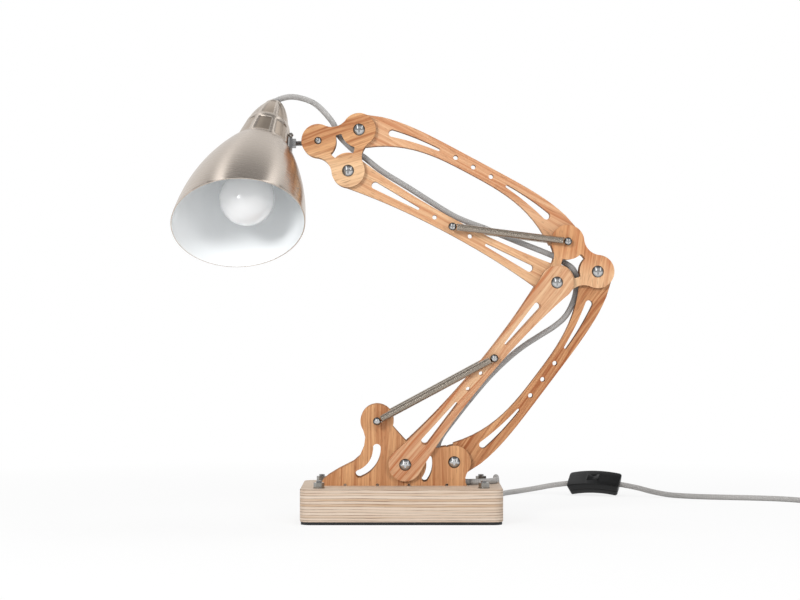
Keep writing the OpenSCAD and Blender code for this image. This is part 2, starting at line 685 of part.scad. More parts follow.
// ---- lead held by the lamp ----------------------------------------------------
// Each stretch belongs to the part that carries it, and they meet end to end at the cuts.
function shade_point(v) =
    let (a = [v[0] * cos(shade_lean) + v[2] * sin(shade_lean), v[1],
              v[2] * cos(shade_lean) - v[0] * sin(shade_lean) - neck_drop])
    [neck_x + a[0], a[1] * cos(shade_roll) + a[2] * sin(shade_roll),
     rod_z + a[2] * cos(shade_roll) - a[1] * sin(shade_roll)];
grip_end = cover_len + 5;
held_route = concat([for (z = [41, 55, grip_end]) shade_point([0, 0, z])],
    [[-124, 36, 462], [-110, 29, 460], [-96, 20, 454], [-85, 10, 444],
     [-74, 0, 430], [-68, 0, 417], [-52, 0, 401], [-40, 0, 393],
     [-21, 0, 378], [9, 0, 359.5], [51, 0, 333], [71, 0, 323.5], [90, 0, 316.5], [123, 0, 303],
     [163, 0, 287],
     [176, 0, 279.5], [186, 0, 272.5], [190.5, 0, 262], [190, 0, 250],
     [186.5, 0, 236], [178.5, 0, 221], [166.5, 0, 210], [150, 0, 199.5], [133, 0, 188.5],
     [115.5, 0, 174.5], [95, 0, 154.5], [73, 0, 128.5], [56.5, 0, 107.5], [44.5, 0, 91.5],
     [39.5, 0, 80],
     [38.5, 0, 66], [41, 0, 54], [48, 0, 45], [60, 0, 41], [74, 0, 40.8]]);
held_cuts = [0, 7, 11, 18, 22, 33, 37];
module held_lead(k) {
    path = smooth_path(held_route, 2);
    first = 2 * held_cuts[k];
    last = 2 * held_cuts[k + 1];
    color(grey_cord) tube([for (i = [first:last]) path[i]], lead_d, lead_sides, [0, 1, 0],
                          path[max(first - 1, 0)], path[min(last + 1, len(path) - 1)]);
}
module lead_shade() { held_lead(0); }
module lead_head() { held_lead(1); }
module lead_upper() { held_lead(2); }
module lead_elbow() { held_lead(3); }
module lead_lower() { held_lead(4); }
module lead_base() { held_lead(5); }

// ---- free lead, switch, coil and plug ------------------------------------------
lead_z = 3.2;
switch_at = [238, 332];
switch_yaw = -20;
switch_roll = 38;                 // the stiff lead holds the switch up on one long edge
switch_wide = 25;
switch_thick = 15;
switch_lift = switch_wide / 2 * sin(switch_roll);
arch_r = 110;
switch_end = [31, 8];             // along the switch and above its foot, where the lead goes in
function from_switch(x, z) =
    let (y = -z * sin(switch_roll))
    [switch_at[0] + x * cos(switch_yaw) - y * sin(switch_yaw),
     switch_at[1] + x * sin(switch_yaw) + y * cos(switch_yaw), z * cos(switch_roll) + switch_lift];
// the route, a point each few centimetres, chosen by hand
free_route_a = [[74, 0, 40.8], [86.5, 2.1, 40.8], [95.8, 8.2, 40.8], [101.9, 17.3, 40.8],
                [104, 28, 40.8], [104.5, 47, 40.8], [105.3, 66, 41.2], [106.3, 77, 37.4],
                [107.3, 89, 28.5], [108.3, 101, 17.8], [109.3, 114, 8.6], [110.3, 130, 3.8],
                [111, 147, 3.2], [112, 172, 3.2], [113, 200, 3.2], [114, 232, 3.2], [116, 265, 3.2],
                [119, 296, 3.2], [127, 323, 3.2], [142, 344, 3.6], [163, 352, 6.2], [186, 347, 10.8]];
free_route_b = [[285, 309, 10.8], [304, 300, 6.4], [322, 288, 3.8], [341, 276, 3.2], [363, 264, 3.2],
                [390, 255, 3.2], [420, 246, 3.2], [448, 233, 3.2], [468, 214, 3.2], [479, 190, 3.2],
                [482, 168, 3.2], [482, 150, 3.2]];
coil_at = [520, 150];
coil_in = 28.6;
turns_wide = 2;
turns_high = 2;
coil_out = coil_in + turns_wide * lead_d;
// from the coil's top turn down to the plug
plug_route = [[481, 134, 8.6], [480.5, 126, 7.4], [482.5, 113, 5], [488, 101, 3.9], [497, 92.5, 4],
              [507, 88.6, 5.4], [516, 88, 6.85]];
module free_lead() {
    route_a = concat(free_route_a, [from_switch(-switch_end[0], switch_end[1])]);
    route_b = concat([from_switch(switch_end[0], switch_end[1])], free_route_b);
    color(grey_cord) {
        for (route = [route_a, route_b, plug_route])
            tube(route, lead_d, 8, [0, 0, 1], route[0], route[len(route) - 1]);
    }
}
module lead_coil() {
    color(grey_cord) translate([coil_at[0], coil_at[1], 0]) rotate_extrude($fn = 64)
        translate([coil_in, 0]) square([coil_out - coil_in, turns_high * lead_d]);
}
module on_switch() {
    translate([switch_at[0], switch_at[1], switch_lift]) rotate(switch_yaw) rotate([switch_roll, 0, 0])
        children();
}
switch_low = arch_r * (1 - cos(asin(switch_len / 2 / (arch_r + switch_thick))));
rocker_half = [8, 4.6];
rocker_pin = [1.2, 6.2];           // radius and half length of the pins the rocker turns on
// a bar bent to an arch that stands on its two ends; the rocker sits on its crown
module arc_bar(r_in, r_out, wide, long) {
    half = asin(long / 2 / r_out);
    translate([0, 0, switch_low - arch_r]) rotate([90, 0, 0]) rotate(90 - half)
        rotate_extrude(angle = 2 * half, $fn = 180)
            translate([r_in, -wide / 2]) square([r_out - r_in, wide]);
}
module switch_case() {
    color(black) on_switch() difference() {
        arc_bar(arch_r, arch_r + switch_thick, switch_wide, switch_len);
        translate([-rocker_half[0] - 0.4, -rocker_half[1] - 0.4, switch_low + switch_thick - 6.5])
            cube([2 * rocker_half[0] + 0.8, 2 * rocker_half[1] + 0.8, 12]);
        for (s = [-1, 1]) translate([s * switch_end[0], 0, switch_end[1]]) rotate([0, s * 90, 0])
            cylinder(h = 20, r = lead_d / 2 + 0.1, $fn = 32);
        across_rocker() cylinder(h = 2 * rocker_pin[1] + 0.4, r = rocker_pin[0] + 0.05, center = true,
                                 $fn = 32);
    }
}
rocker_pin_z = switch_low + switch_thick - 3;
module across_rocker() { translate([0, 0, rocker_pin_z]) rotate([90, 0, 0]) children(); }
module switch_rocker() {
    color([0.12, 0.12, 0.13]) on_switch() across_rocker() {
        linear_extrude(2 * rocker_half[1], center = true)
            polygon([[-7.6, 1.5], [-3, -2.6], [3, -2.6], [7.6, 1.5], [7.3, 4.5], [4, 3.9], [0, 3.6],
                     [-4, 3.9], [-7.3, 4.5]]);
        cylinder(h = 2 * rocker_pin[1], r = rocker_pin[0], center = true, $fn = 32);
    }
}
plug_at = [516, 88, 0];
module at_plug() { translate(plug_at) children(); }
plug_len = 35.5;
plug_h = 13.7;
module plug_body() {
    color(black) at_plug() linear_extrude(plug_h)
        polygon([[0, -4.5], [8, -8], [20, -12.6], [plug_len, -12.6], [plug_len, 12.6], [20, 12.6],
                 [8, 8], [0, 4.5]]);
}
module plug_pins() {
    color(steel) at_plug() for (y = [-9.3, 9.3])
        translate([plug_len, y, plug_h / 2]) rotate([0, 90, 0]) cylinder(h = 19, r = 2, $fn = 32);
}

base_block();
base_pad();
base_weight();
base_bolts();
base_nuts();
bracket_near();
bracket_far();
base_pivot_bolts();
base_spacers();
base_spring_screws();
lower_front_arm_near();
lower_front_arm_far();
lower_arm_screws();
lower_rear_arm_near();
lower_rear_arm_far();
elbow_plate_near();
elbow_plate_far();
elbow_pivot_bolts();
elbow_spacers();
upper_top_arm_near();
upper_top_arm_far();
upper_bottom_arm_near();
upper_bottom_arm_far();
upper_arm_screws();
head_plate_near();
head_plate_far();
head_pivot_bolts();
head_spacers();
lower_spring_near();
lower_spring_far();
lower_spring_hooks();
upper_spring_near();
upper_spring_far();
upper_spring_hooks();
swivel_block();
swivel_screws();
swivel_rod();
rod_nuts();
shade_lug();
lug_screw();
shade();
lampholder_cover();
lampholder();
bulb_globe();
bulb_cap();
cord_grip();
lead_shade();
lead_head();
lead_upper();
lead_elbow();
lead_lower();
lead_base();
free_lead();
lead_coil();
switch_case();
switch_rocker();
plug_body();
plug_pins();
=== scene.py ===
"""Dresses a plywood swing-arm desk lamp: textile lead, wound springs, spun shade, switch and plug."""

import math

import bmesh
import bpy
from bpy.props import FloatProperty, FloatVectorProperty, IntProperty, PointerProperty
from mathutils import Matrix, Vector


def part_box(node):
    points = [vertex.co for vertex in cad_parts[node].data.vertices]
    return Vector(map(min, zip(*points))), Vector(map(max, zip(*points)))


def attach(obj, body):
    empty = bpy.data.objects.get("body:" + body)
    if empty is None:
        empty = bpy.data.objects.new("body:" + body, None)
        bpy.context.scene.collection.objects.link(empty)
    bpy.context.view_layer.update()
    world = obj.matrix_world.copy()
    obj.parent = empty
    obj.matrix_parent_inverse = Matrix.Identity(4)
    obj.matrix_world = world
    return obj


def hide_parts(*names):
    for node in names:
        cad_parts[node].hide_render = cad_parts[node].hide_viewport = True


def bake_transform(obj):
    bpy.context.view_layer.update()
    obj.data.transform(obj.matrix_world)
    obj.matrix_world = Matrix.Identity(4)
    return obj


bl_info = {
    "name": "Plywood Swing-Arm Lamp",
    "version": (1, 0, 0),
    "blender": (4, 5, 0),
    "location": "View3D > Sidebar > Lamp",
    "description": "Dresses a plywood desk lamp on a double swing arm",
    "category": "Add Mesh",
}

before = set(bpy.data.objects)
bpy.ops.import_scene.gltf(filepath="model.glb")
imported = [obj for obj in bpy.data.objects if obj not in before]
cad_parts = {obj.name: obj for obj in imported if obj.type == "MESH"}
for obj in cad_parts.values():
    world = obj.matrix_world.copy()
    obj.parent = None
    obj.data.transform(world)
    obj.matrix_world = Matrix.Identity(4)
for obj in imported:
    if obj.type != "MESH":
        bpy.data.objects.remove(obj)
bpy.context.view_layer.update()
MM = 0.001

# a level camera; its lens is its focal length in pixels of a view that many pixels wide
CAMERA_AT = (-0.0016, -2.66, 0.2383)
FOCAL_PIXELS, VIEW_PIXELS = 2447, 800


# ---- measures shared with the solid model: points of the arms' plane in millimetres ----


def polar(p, length, angle):
    """The point at that length and angle from p, in the plane of the arms."""
    a = math.radians(angle)
    return (p[0] + length * math.cos(a), p[1] + length * math.sin(a))


FRONT_FOOT = (4, 60.5)
REAR_FOOT = (57, 63)
SPRING_POST = (-26.4, 107.7)
ELBOW_FRONT = polar(FRONT_FOOT, 256, 50.2)
ELBOW_REAR = polar(ELBOW_FRONT, 46, 15)
ELBOW_TOP = polar(ELBOW_FRONT, 46, 75)
HEAD_LOW = polar(ELBOW_FRONT, 256, 151.8)
HEAD_TOP = polar(HEAD_LOW, 46, 75)
HEAD_TIP = polar(HEAD_LOW, 46, 135)
LOWER_HOOK = polar(FRONT_FOOT, 256 * 0.585, 50.2)
UPPER_HOOK = polar(ELBOW_FRONT, 128, 151.8)
# how far out from the middle plane the plates that carry each pair of springs reach
LOWER_PLATES_OUT, UPPER_PLATES_OUT, SPRING_PLAY = 20, 14.5, 0.5
ROD_Z = HEAD_TIP[1] - 2.2

# ---- and places, in metres
SHADE_PLACE = (
    Matrix.Translation((-0.1514, 0, ROD_Z * MM))
    @ Matrix.Rotation(math.radians(-37), 4, "X")
    @ Matrix.Translation((0, 0, -0.0065))
    @ Matrix.Rotation(math.radians(11), 4, "Y")
)
SWITCH_TILT = math.radians(38)
SWITCH_PLACE = (
    Matrix.Translation((0.238, 0.332, 0.0125 * math.sin(SWITCH_TILT)))
    @ Matrix.Rotation(math.radians(-20), 4, "Z")
    @ Matrix.Rotation(SWITCH_TILT, 4, "X")
)
PLUG_AT = Vector((0.516, 0.088, 0.00685))


def metres(points):
    """Points given in millimetres, as vectors in metres."""
    return [Vector(p) * MM for p in points]


def in_switch(x, z):
    """A point of the switch's middle plane, given in millimetres from its foot."""
    return SWITCH_PLACE @ Vector((x * MM, 0, z * MM))


ROUTE_TO_SWITCH = metres(
    [(74, 0, 40.8), (86.5, 2.1, 40.8), (95.8, 8.2, 40.8), (101.9, 17.3, 40.8), (104, 28, 40.8),
     (104.5, 47, 40.8), (105.3, 66, 41.2), (106.3, 77, 37.4), (107.3, 89, 28.5), (108.3, 101, 17.8),
     (109.3, 114, 8.6), (110.3, 130, 3.8), (111, 147, 3.2), (112, 172, 3.2), (113, 200, 3.2),
     (114, 232, 3.2), (116, 265, 3.2), (119, 296, 3.2), (127, 323, 3.2), (142, 344, 3.6),
     (163, 352, 6.2), (186, 347, 10.8)]
)
ROUTE_IN_SWITCH = [in_switch(x, z) for x, z in ((-31, 8), (-16, 8.9), (0, 9.2), (16, 8.9), (31, 8))]
ROUTE_FROM_SWITCH = metres(
    [(285, 309, 10.8), (304, 300, 6.4), (322, 288, 3.8), (341, 276, 3.2), (363, 264, 3.2),
     (390, 255, 3.2), (420, 246, 3.2), (448, 233, 3.2), (468, 214, 3.2), (479, 190, 3.2),
     (482, 168, 3.2)]
)
ROUTE_TO_PLUG = metres(
    [(480.6, 138, 9.2), (480.5, 126, 7.4), (482.5, 113, 5), (488, 101, 3.9), (497, 92.5, 4),
     (507, 88.6, 5.4), (517, 88, 6.85)]
)
COIL_AT = (0.520, 0.150)
COIL_RADIUS = 0.03805
LEAD_REST = 0.00315
# the lead through the lamp, from the base to the lampholder
HELD_ROUTE = metres(
    [(74, 0, 40.8), (60, 0, 41), (48, 0, 45), (41, 0, 54), (38.5, 0, 66), (39.5, 0, 80),
     (44.5, 0, 91.5), (56.5, 0, 107.5), (73, 0, 128.5), (95, 0, 154.5), (115.5, 0, 174.5),
     (133, 0, 188.5), (150, 0, 199.5), (166.5, 0, 210), (178.5, 0, 221), (186.5, 0, 236),
     (190, 0, 250), (190.5, 0, 262), (186, 0, 272.5), (176, 0, 279.5), (163, 0, 287),
     (123, 0, 303), (90, 0, 316.5), (71, 0, 323.5), (51, 0, 333), (9, 0, 359.5), (-21, 0, 378),
     (-40, 0, 393), (-52, 0, 401), (-68, 0, 417), (-74, 0, 430), (-85, 10, 444), (-96, 20, 454),
     (-110, 29, 460), (-124, 36, 462)]
) + [SHADE_PLACE @ Vector((0, 0, z)) for z in (0.069, 0.055, 0.041)]
# name, first and last route point, the two bodies, where the bend starts and ends in millimetres,
# and the solid it stands for
HELD_STRETCHES = [
    ("lead_at_base", 0, 8, "base", "lower_front", (41, 0, 56), (52, 0, 101), "lead_base"),
    ("lead_up_arm", 8, 17, "lower_front", "elbow", (160, 0, 206), (190, 0, 255), "lead_lower"),
    ("lead_at_elbow", 17, 22, "elbow", "upper_bottom", (188, 0, 267), (148, 0, 293), "lead_elbow"),
    ("lead_along_arm", 22, 29, "upper_bottom", "head", (0, 0, 365), (-62, 0, 410), "lead_upper"),
    ("lead_at_head", 29, 32, "head", "swivel", (-70, 0, 423), (-92, 17, 451), "lead_head"),
    ("lead_to_shade", 32, 37, "swivel", "shade", (-98, 21, 455), (-130, 37, 462), "lead_shade"),
]


# ---- sizes and colours a user would change ------------------------------------


def linear(r, g, b):
    """A screen colour as the linear colour that shaders use."""
    return tuple(c / 12.92 if c <= 0.04045 else ((c + 0.055) / 1.055) ** 2.4 for c in (r, g, b))


def length(name, description, default):
    return FloatProperty(name=name, description=description, default=default, min=0.0, unit="LENGTH")


def colour(name, description, default):
    return FloatVectorProperty(
        name=name, description=description, default=linear(*default), size=3, min=0, max=1, subtype="COLOR"
    )


class LampSizes(bpy.types.PropertyGroup):
    lead_diameter: length("Lead diameter", "Diameter over the lead's textile braid", 0.0063)
    wire_diameter: length("Spring wire", "Diameter of the spring wire", 0.001)
    spring_diameter: length("Spring diameter", "Outside diameter of the wound springs", 0.008)
    turn_gap: length("Spring gap", "Gap between two turns of a spring at rest", 0.00004)
    shade_wall: length("Shade wall", "Thickness of the spun metal of the shade", 0.0012)
    panel_sink: length("Panel depth", "How far the cover's panels lie below its ribs", 0.0011)
    bulb_radius: length("Bulb radius", "Radius of the bulb's globe", 0.0295)
    block_edge: length("Block edge", "Rounding of the base block's long edges", 0.0009)
    ribs: IntProperty(
        name="Ribs", description="Number of upright ribs on the cover", default=8, min=4, max=12
    )


class LampColours(bpy.types.PropertyGroup):
    wood_pale: colour("Pale wood", "Lightest colour of the plates' faces", (0.885, 0.72, 0.565))
    wood_deep: colour("Deep wood", "Darkest colour of the plates' faces", (0.70, 0.43, 0.27))
    cut_edge: colour("Cut edge", "Colour of the plates' cut edges", (0.45, 0.31, 0.21))
    ply_pale: colour("Pale layer", "Light layers of the base block", (0.835, 0.77, 0.705))
    ply_tan: colour("Tan layer", "Darker layers of the base block", (0.72, 0.60, 0.485))
    nickel: colour("Nickel", "Satin nickel of the shade and its cover", (0.80, 0.757, 0.715))
    steel: colour("Steel", "Plain zinc plated steel", (0.66, 0.66, 0.66))
    chrome: colour("Chrome", "Bright screw heads", (0.86, 0.86, 0.86))
    white: colour("Inner white", "Paint inside the shade", (0.955, 0.965, 0.97))
    braid: colour("Braid", "Grey textile over the lead", (0.67, 0.66, 0.65))
    black: colour("Black", "Moulded switch and plug", (0.045, 0.047, 0.052))


def sizes():
    return bpy.context.scene.lamp_sizes


def colours():
    return bpy.context.scene.lamp_colours


# ---- shader helpers ------------------------------------------------------------


def node(tree, kind, inputs=None, **settings):
    """A node with its settings made and its inputs set, or joined where the value is a socket."""
    made = tree.nodes.new(kind)
    for key, value in settings.items():
        setattr(made, key, value)
    for key, value in (inputs or {}).items():
        if isinstance(value, bpy.types.NodeSocket):
            tree.links.new(value, made.inputs[key])
        else:
            made.inputs[key].default_value = value
    return made


def calc(tree, operation, a, b=0.0, clamp=False):
    return node(tree, "ShaderNodeMath", {0: a, 1: b}, operation=operation, use_clamp=clamp).outputs[0]


def weigh(tree, *pairs):
    """The sum of the values, each times its weight."""
    total = None
    for value, weight in pairs:
        part = calc(tree, "MULTIPLY", value, weight)
        total = part if total is None else calc(tree, "ADD", total, part)
    return total


def stretch(tree, vector, factors):
    return node(tree, "ShaderNodeVectorMath", {0: vector, 1: factors}, operation="MULTIPLY").outputs[0]


def noise(tree, vector, factors, detail=2.0, rough=0.5):
    """Noise from 0 to 1 whose features are 1/factors long along each axis."""
    keys = {"Vector": stretch(tree, vector, factors), "Scale": 1.0, "Detail": detail, "Roughness": rough}
    return node(tree, "ShaderNodeTexNoise", keys).outputs[0]


def spread(tree, value, low, high, to_low=0.0, to_high=1.0):
    """value from low..high mapped to to_low..to_high, held at its ends."""
    keys = {"Value": value, "From Min": low, "From Max": high, "To Min": to_low, "To Max": to_high}
    return node(tree, "ShaderNodeMapRange", keys, clamp=True).outputs[0]


def mix(tree, share, a, b, kind="MIX"):
    return node(tree, "ShaderNodeMix", {0: share, 6: a, 7: b}, data_type="RGBA", blend_type=kind).outputs[2]


def blend_values(tree, share, a, b):
    return node(tree, "ShaderNodeMix", {0: share, 2: a, 3: b}).outputs[0]


def rgba(c):
    return (c[0], c[1], c[2], 1.0)


def separate(tree, vector):
    return node(tree, "ShaderNodeSeparateXYZ", {0: vector}).outputs


def combine(tree, x, y, z):
    return node(tree, "ShaderNodeCombineXYZ", {0: x, 1: y, 2: z}).outputs[0]


def coordinates(tree, kind):
    return tree.nodes.new("ShaderNodeTexCoord").outputs[kind]


SOCKETS = {"V": "NodeSocketVector", "C": "NodeSocketColor", "F": "NodeSocketFloat"}

# fixed colours, already linear
PORE = (0.17, 0.075, 0.03, 1)
CLOTH_FLECK = (0.92, 0.92, 0.9, 1)
PLATE_GLUE = (0.05, 0.025, 0.012, 1)
BLOCK_GLUE = (0.11, 0.05, 0.025, 1)
# painted reflection: the near black painted round the rims of the domed screw heads
SCREW_RIM_SHADE = (0.02, 0.018, 0.016, 1)
GLASS_WHITE = (0.745, 0.75, 0.755, 1)
RUBBER = (0.012, 0.013, 0.014)


def group(name, inputs, outputs):
    """An empty node group with the named sockets, and what its two ends offer."""
    tree = bpy.data.node_groups.new(name, "ShaderNodeTree")
    for label, kind in inputs:
        tree.interface.new_socket(label, in_out="INPUT", socket_type=SOCKETS[kind])
    for label, kind in outputs:
        tree.interface.new_socket(label, in_out="OUTPUT", socket_type=SOCKETS[kind])
    return tree, tree.nodes.new("NodeGroupInput").outputs, tree.nodes.new("NodeGroupOutput").inputs


def wood_grain_group():
    """Open straight grain: X runs along it and Z across it, in metres."""
    tree, given, out = group(
        "wood_grain",
        [("Vector", "V"), ("Pale", "C"), ("Deep", "C"), ("Figure", "F")],
        [("Color", "C"), ("Roughness", "F"), ("Height", "F")],
    )
    v = given["Vector"]
    drift = noise(tree, v, (5, 5, 28), 2.0)
    parts = separate(tree, v)
    across = calc(tree, "ADD", parts[2], calc(tree, "MULTIPLY", drift, 0.02))
    lines = combine(tree, parts[0], parts[1], across)
    bands = spread(tree, noise(tree, lines, (2.5, 2.5, 75), 1.0), 0.38, 0.64)
    rings = spread(tree, noise(tree, lines, (4, 4, 330), 1.0), 0.46, 0.66)
    streaks = spread(tree, noise(tree, lines, (14, 14, 700), 3.0, 0.65), 0.36, 0.66)
    dashes = spread(tree, noise(tree, lines, (95, 95, 1150), 1.0), 0.62, 0.72)
    deep = weigh(tree, (bands, 0.32), (rings, 0.36), (streaks, 0.44))
    deep = calc(tree, "MULTIPLY", deep, given["Figure"], clamp=True)
    face = mix(tree, deep, given["Pale"], given["Deep"])
    face = mix(tree, calc(tree, "MULTIPLY", dashes, 0.42), face, PORE)
    tree.links.new(face, out["Color"])
    tree.links.new(spread(tree, calc(tree, "ADD", streaks, dashes), 0, 2, 0.42, 0.62), out["Roughness"])
    tree.links.new(calc(tree, "SUBTRACT", calc(tree, "MULTIPLY", streaks, 0.3), dashes), out["Height"])
    return tree


def layers_group():
    """Edges of glued layers stacked along Z; Layer is one layer's thickness in metres."""
    tree, given, out = group(
        "ply_layers",
        [("Vector", "V"), ("Pale", "C"), ("Tan", "C"), ("Layer", "F"), ("Glue", "C")],
        [("Color", "C"), ("Height", "F")],
    )
    v = given["Vector"]
    parts = separate(tree, v)
    sway = calc(tree, "MULTIPLY", noise(tree, v, (9, 9, 40), 2.0), 0.7)
    level = calc(tree, "ADD", calc(tree, "DIVIDE", parts[2], given["Layer"]), sway)
    index = calc(tree, "FLOOR", level)
    within = calc(tree, "FRACT", level)
    flat = combine(tree, parts[0], parts[1], index)
    tone = noise(tree, flat, (1.5, 1.5, 7.77), 1.0)
    even = calc(tree, "FRACT", calc(tree, "MULTIPLY", index, 0.5))
    tan = calc(tree, "ADD", calc(tree, "MULTIPLY", even, 0.7), spread(tree, tone, 0.35, 0.65, -0.1, 0.35))
    fine = noise(tree, v, (16, 16, 1500), 3.0, 0.65)
    tan = calc(tree, "ADD", tan, spread(tree, fine, 0.32, 0.68, -0.4, 0.5), clamp=True)
    off_middle = calc(tree, "ABSOLUTE", calc(tree, "SUBTRACT", within, 0.5))
    seam = spread(tree, off_middle, 0.34, 0.48)
    broken = spread(tree, noise(tree, flat, (26, 26, 3.1), 4.0, 0.6), 0.42, 0.60)
    gap = calc(tree, "MULTIPLY", seam, calc(tree, "ADD", calc(tree, "MULTIPLY", broken, 0.7), 0.3))
    body = mix(tree, tan, given["Pale"], given["Tan"])
    body = mix(tree, calc(tree, "MULTIPLY", gap, 0.95), body, given["Glue"])
    tree.links.new(body, out["Color"])
    tree.links.new(calc(tree, "SUBTRACT", calc(tree, "MULTIPLY", fine, 0.4), gap), out["Height"])
    return tree


def handling_group():
    """Faint uneven gloss from handling: Amount is how much roughness it adds or takes."""
    tree, given, out = group(
        "handling", [("Vector", "V"), ("Base", "F"), ("Amount", "F")], [("Roughness", "F")]
    )
    cloud = noise(tree, given["Vector"], (38, 38, 38), 4.0, 0.6)
    speck = noise(tree, given["Vector"], (900, 900, 900), 1.0)
    both = weigh(tree, (cloud, 1.4), (speck, 0.6))
    change = calc(tree, "MULTIPLY", calc(tree, "SUBTRACT", both, 1.0), given["Amount"])
    tree.links.new(calc(tree, "ADD", given["Base"], change, clamp=True), out["Roughness"])
    return tree


def brushing_group():
    """Fine lines left by brushing: they run along X and are spaced along Y, in metres."""
    tree, given, out = group(
        "brushing",
        [("Vector", "V"), ("Base", "F"), ("Color", "C")],
        [("Color", "C"), ("Roughness", "F"), ("Height", "F")],
    )
    v = given["Vector"]
    fine = noise(tree, v, (25, 2400, 25), 2.0, 0.6)
    broad = noise(tree, v, (6, 420, 6), 3.0, 0.6)
    lines = weigh(tree, (fine, 0.6), (broad, 0.4))
    shade = spread(tree, lines, 0.3, 0.7, 0.96, 1.03)
    grey = combine(tree, shade, shade, shade)
    tree.links.new(mix(tree, 1.0, given["Color"], grey, "MULTIPLY"), out["Color"])
    rough = calc(tree, "ADD", given["Base"], spread(tree, lines, 0.3, 0.7, -0.02, 0.03))
    tree.links.new(rough, out["Roughness"])
    tree.links.new(lines, out["Height"])
    return tree


def braid_group():
    """A round braid on a tube whose UV is one turn in U and metres in V."""
    tree, given, out = group(
        "braid", [("Vector", "V"), ("Strands", "F"), ("Pitch", "F")], [("Mask", "F"), ("Height", "F")]
    )
    parts = separate(tree, given["Vector"])
    turn = calc(tree, "MULTIPLY", parts[0], given["Strands"])
    run = calc(tree, "DIVIDE", parts[1], given["Pitch"])
    one = calc(tree, "SINE", calc(tree, "MULTIPLY", calc(tree, "ADD", turn, run), math.pi))
    two = calc(tree, "SINE", calc(tree, "MULTIPLY", calc(tree, "SUBTRACT", turn, run), math.pi))
    over = calc(tree, "GREATER_THAN", calc(tree, "MULTIPLY", one, two), 0.0)
    one, two = calc(tree, "ABSOLUTE", one), calc(tree, "ABSOLUTE", two)
    high = calc(tree, "MAXIMUM", one, two)
    low = calc(tree, "MINIMUM", one, two)
    bump = calc(tree, "SUBTRACT", high, calc(tree, "MULTIPLY", calc(tree, "SUBTRACT", 1.0, low), 0.35))
    tree.links.new(over, out["Mask"])
    tree.links.new(bump, out["Height"])
    return tree


def material(name, **sockets):
    """A new material with these numbers on its shader's own sockets; returns it, its tree and shader."""
    made = bpy.data.materials.new(name)
    made.use_nodes = True
    shader = made.node_tree.nodes["Principled BSDF"]
    for key, value in sockets.items():
        shader.inputs[key.replace("_", " ")].default_value = value
    return made, made.node_tree, shader


def place(tree, turn=(0, 0, 0), shift=(0, 0, 0)):
    """Object coordinates, turned and shifted."""
    keys = {"Vector": coordinates(tree, "Object"), "Rotation": turn, "Location": shift}
    return node(tree, "ShaderNodeMapping", keys).outputs[0]


def facing(tree, axis):
    """How squarely the surface faces along the object's X, Y or Z, from 0 to 1."""
    return calc(tree, "ABSOLUTE", separate(tree, coordinates(tree, "Normal"))[axis])


def raise_surface(tree, shader, height, distance, strength=1.0):
    made = node(tree, "ShaderNodeBump", {"Height": height, "Distance": distance, "Strength": strength})
    tree.links.new(made.outputs[0], shader.inputs["Normal"])


GROUPS = {}


def use(tree, name, inputs):
    """What one of the shared effects puts out for these inputs."""
    return node(tree, "ShaderNodeGroup", inputs, node_tree=GROUPS[name]).outputs


def handle(tree, shader, vector, rough, amount):
    """Gives the shader the uneven gloss of handling."""
    out = use(tree, "handling", {"Vector": vector, "Base": rough, "Amount": amount})
    tree.links.new(out["Roughness"], shader.inputs["Roughness"])


def plate_wood(name, angle, seed, pale=None, deep=None, figure=1.0):
    """Plywood plate: veneer on the two faces, a scorched edge between them.

    angle is the grain's, in degrees, and figure how strong the grain shows. Where figure is (low, high,
    figure below, figure above), the veneer changes between those heights from the first pale colour to
    the second."""
    c = colours()
    made, tree, shader = material(name, Specular_IOR_Level=0.35)
    if isinstance(figure, tuple):
        share = spread(tree, separate(tree, place(tree))[2], *figure[:2])
        figure = spread(tree, share, 0, 1, *figure[2:])
        pale = mix(tree, share, rgba(pale[0]), rgba(pale[1]))
    else:
        pale = rgba(pale or c.wood_pale)
    along = place(tree, (0, math.radians(angle), 0), (seed * 0.37, seed * 0.11, seed * 0.53))
    face = use(tree, "wood_grain", {
        "Vector": along, "Pale": pale, "Deep": rgba(deep or c.wood_deep), "Figure": figure,
    })
    across = place(tree, (math.radians(90), 0, 0))
    edge = use(tree, "ply_layers", {
        "Vector": across, "Pale": rgba([x * 1.25 for x in c.cut_edge]), "Tan": rgba(c.cut_edge),
        "Layer": 0.001, "Glue": PLATE_GLUE,
    })
    is_face = calc(tree, "GREATER_THAN", facing(tree, 1), 0.7)
    tree.links.new(mix(tree, is_face, edge["Color"], face["Color"]), shader.inputs["Base Color"])
    rough = calc(tree, "MULTIPLY", face["Roughness"], is_face)
    rough = calc(tree, "MAXIMUM", rough, calc(tree, "SUBTRACT", 0.75, is_face))
    tree.links.new(rough, shader.inputs["Roughness"])
    height = calc(tree, "MULTIPLY", face["Height"], is_face)
    raise_surface(tree, shader, height, 0.00012, 0.5)
    return made


def metal(name, base, rough, brushed=True, uv=False, **sockets):
    """Plated steel or nickel; brushed lines run along X, or along U where uv is set."""
    made, tree, shader = material(name, Metallic=1.0, **sockets)
    vector = coordinates(tree, "UV") if uv else place(tree)
    if brushed:
        out = use(tree, "brushing", {"Vector": vector, "Base": rough, "Color": rgba(base)})
        tree.links.new(out["Color"], shader.inputs["Base Color"])
        tree.links.new(out["Roughness"], shader.inputs["Roughness"])
        raise_surface(tree, shader, out["Height"], 0.00003, 0.05)
    else:
        shader.inputs["Base Color"].default_value = rgba(base)
        handle(tree, shader, vector, rough, 0.12)
    return made


def plastic(name, base, rough, speck=0.0, **sockets):
    """Moulded plastic with uneven gloss and, where speck is given, a fine moulded grain."""
    made, tree, shader = material(name, Base_Color=rgba(base), **sockets)
    vector = place(tree)
    handle(tree, shader, vector, rough, 0.16)
    if speck:
        raise_surface(tree, shader, noise(tree, vector, (1600, 1600, 1600), 2.0), speck, 0.5)
    return made


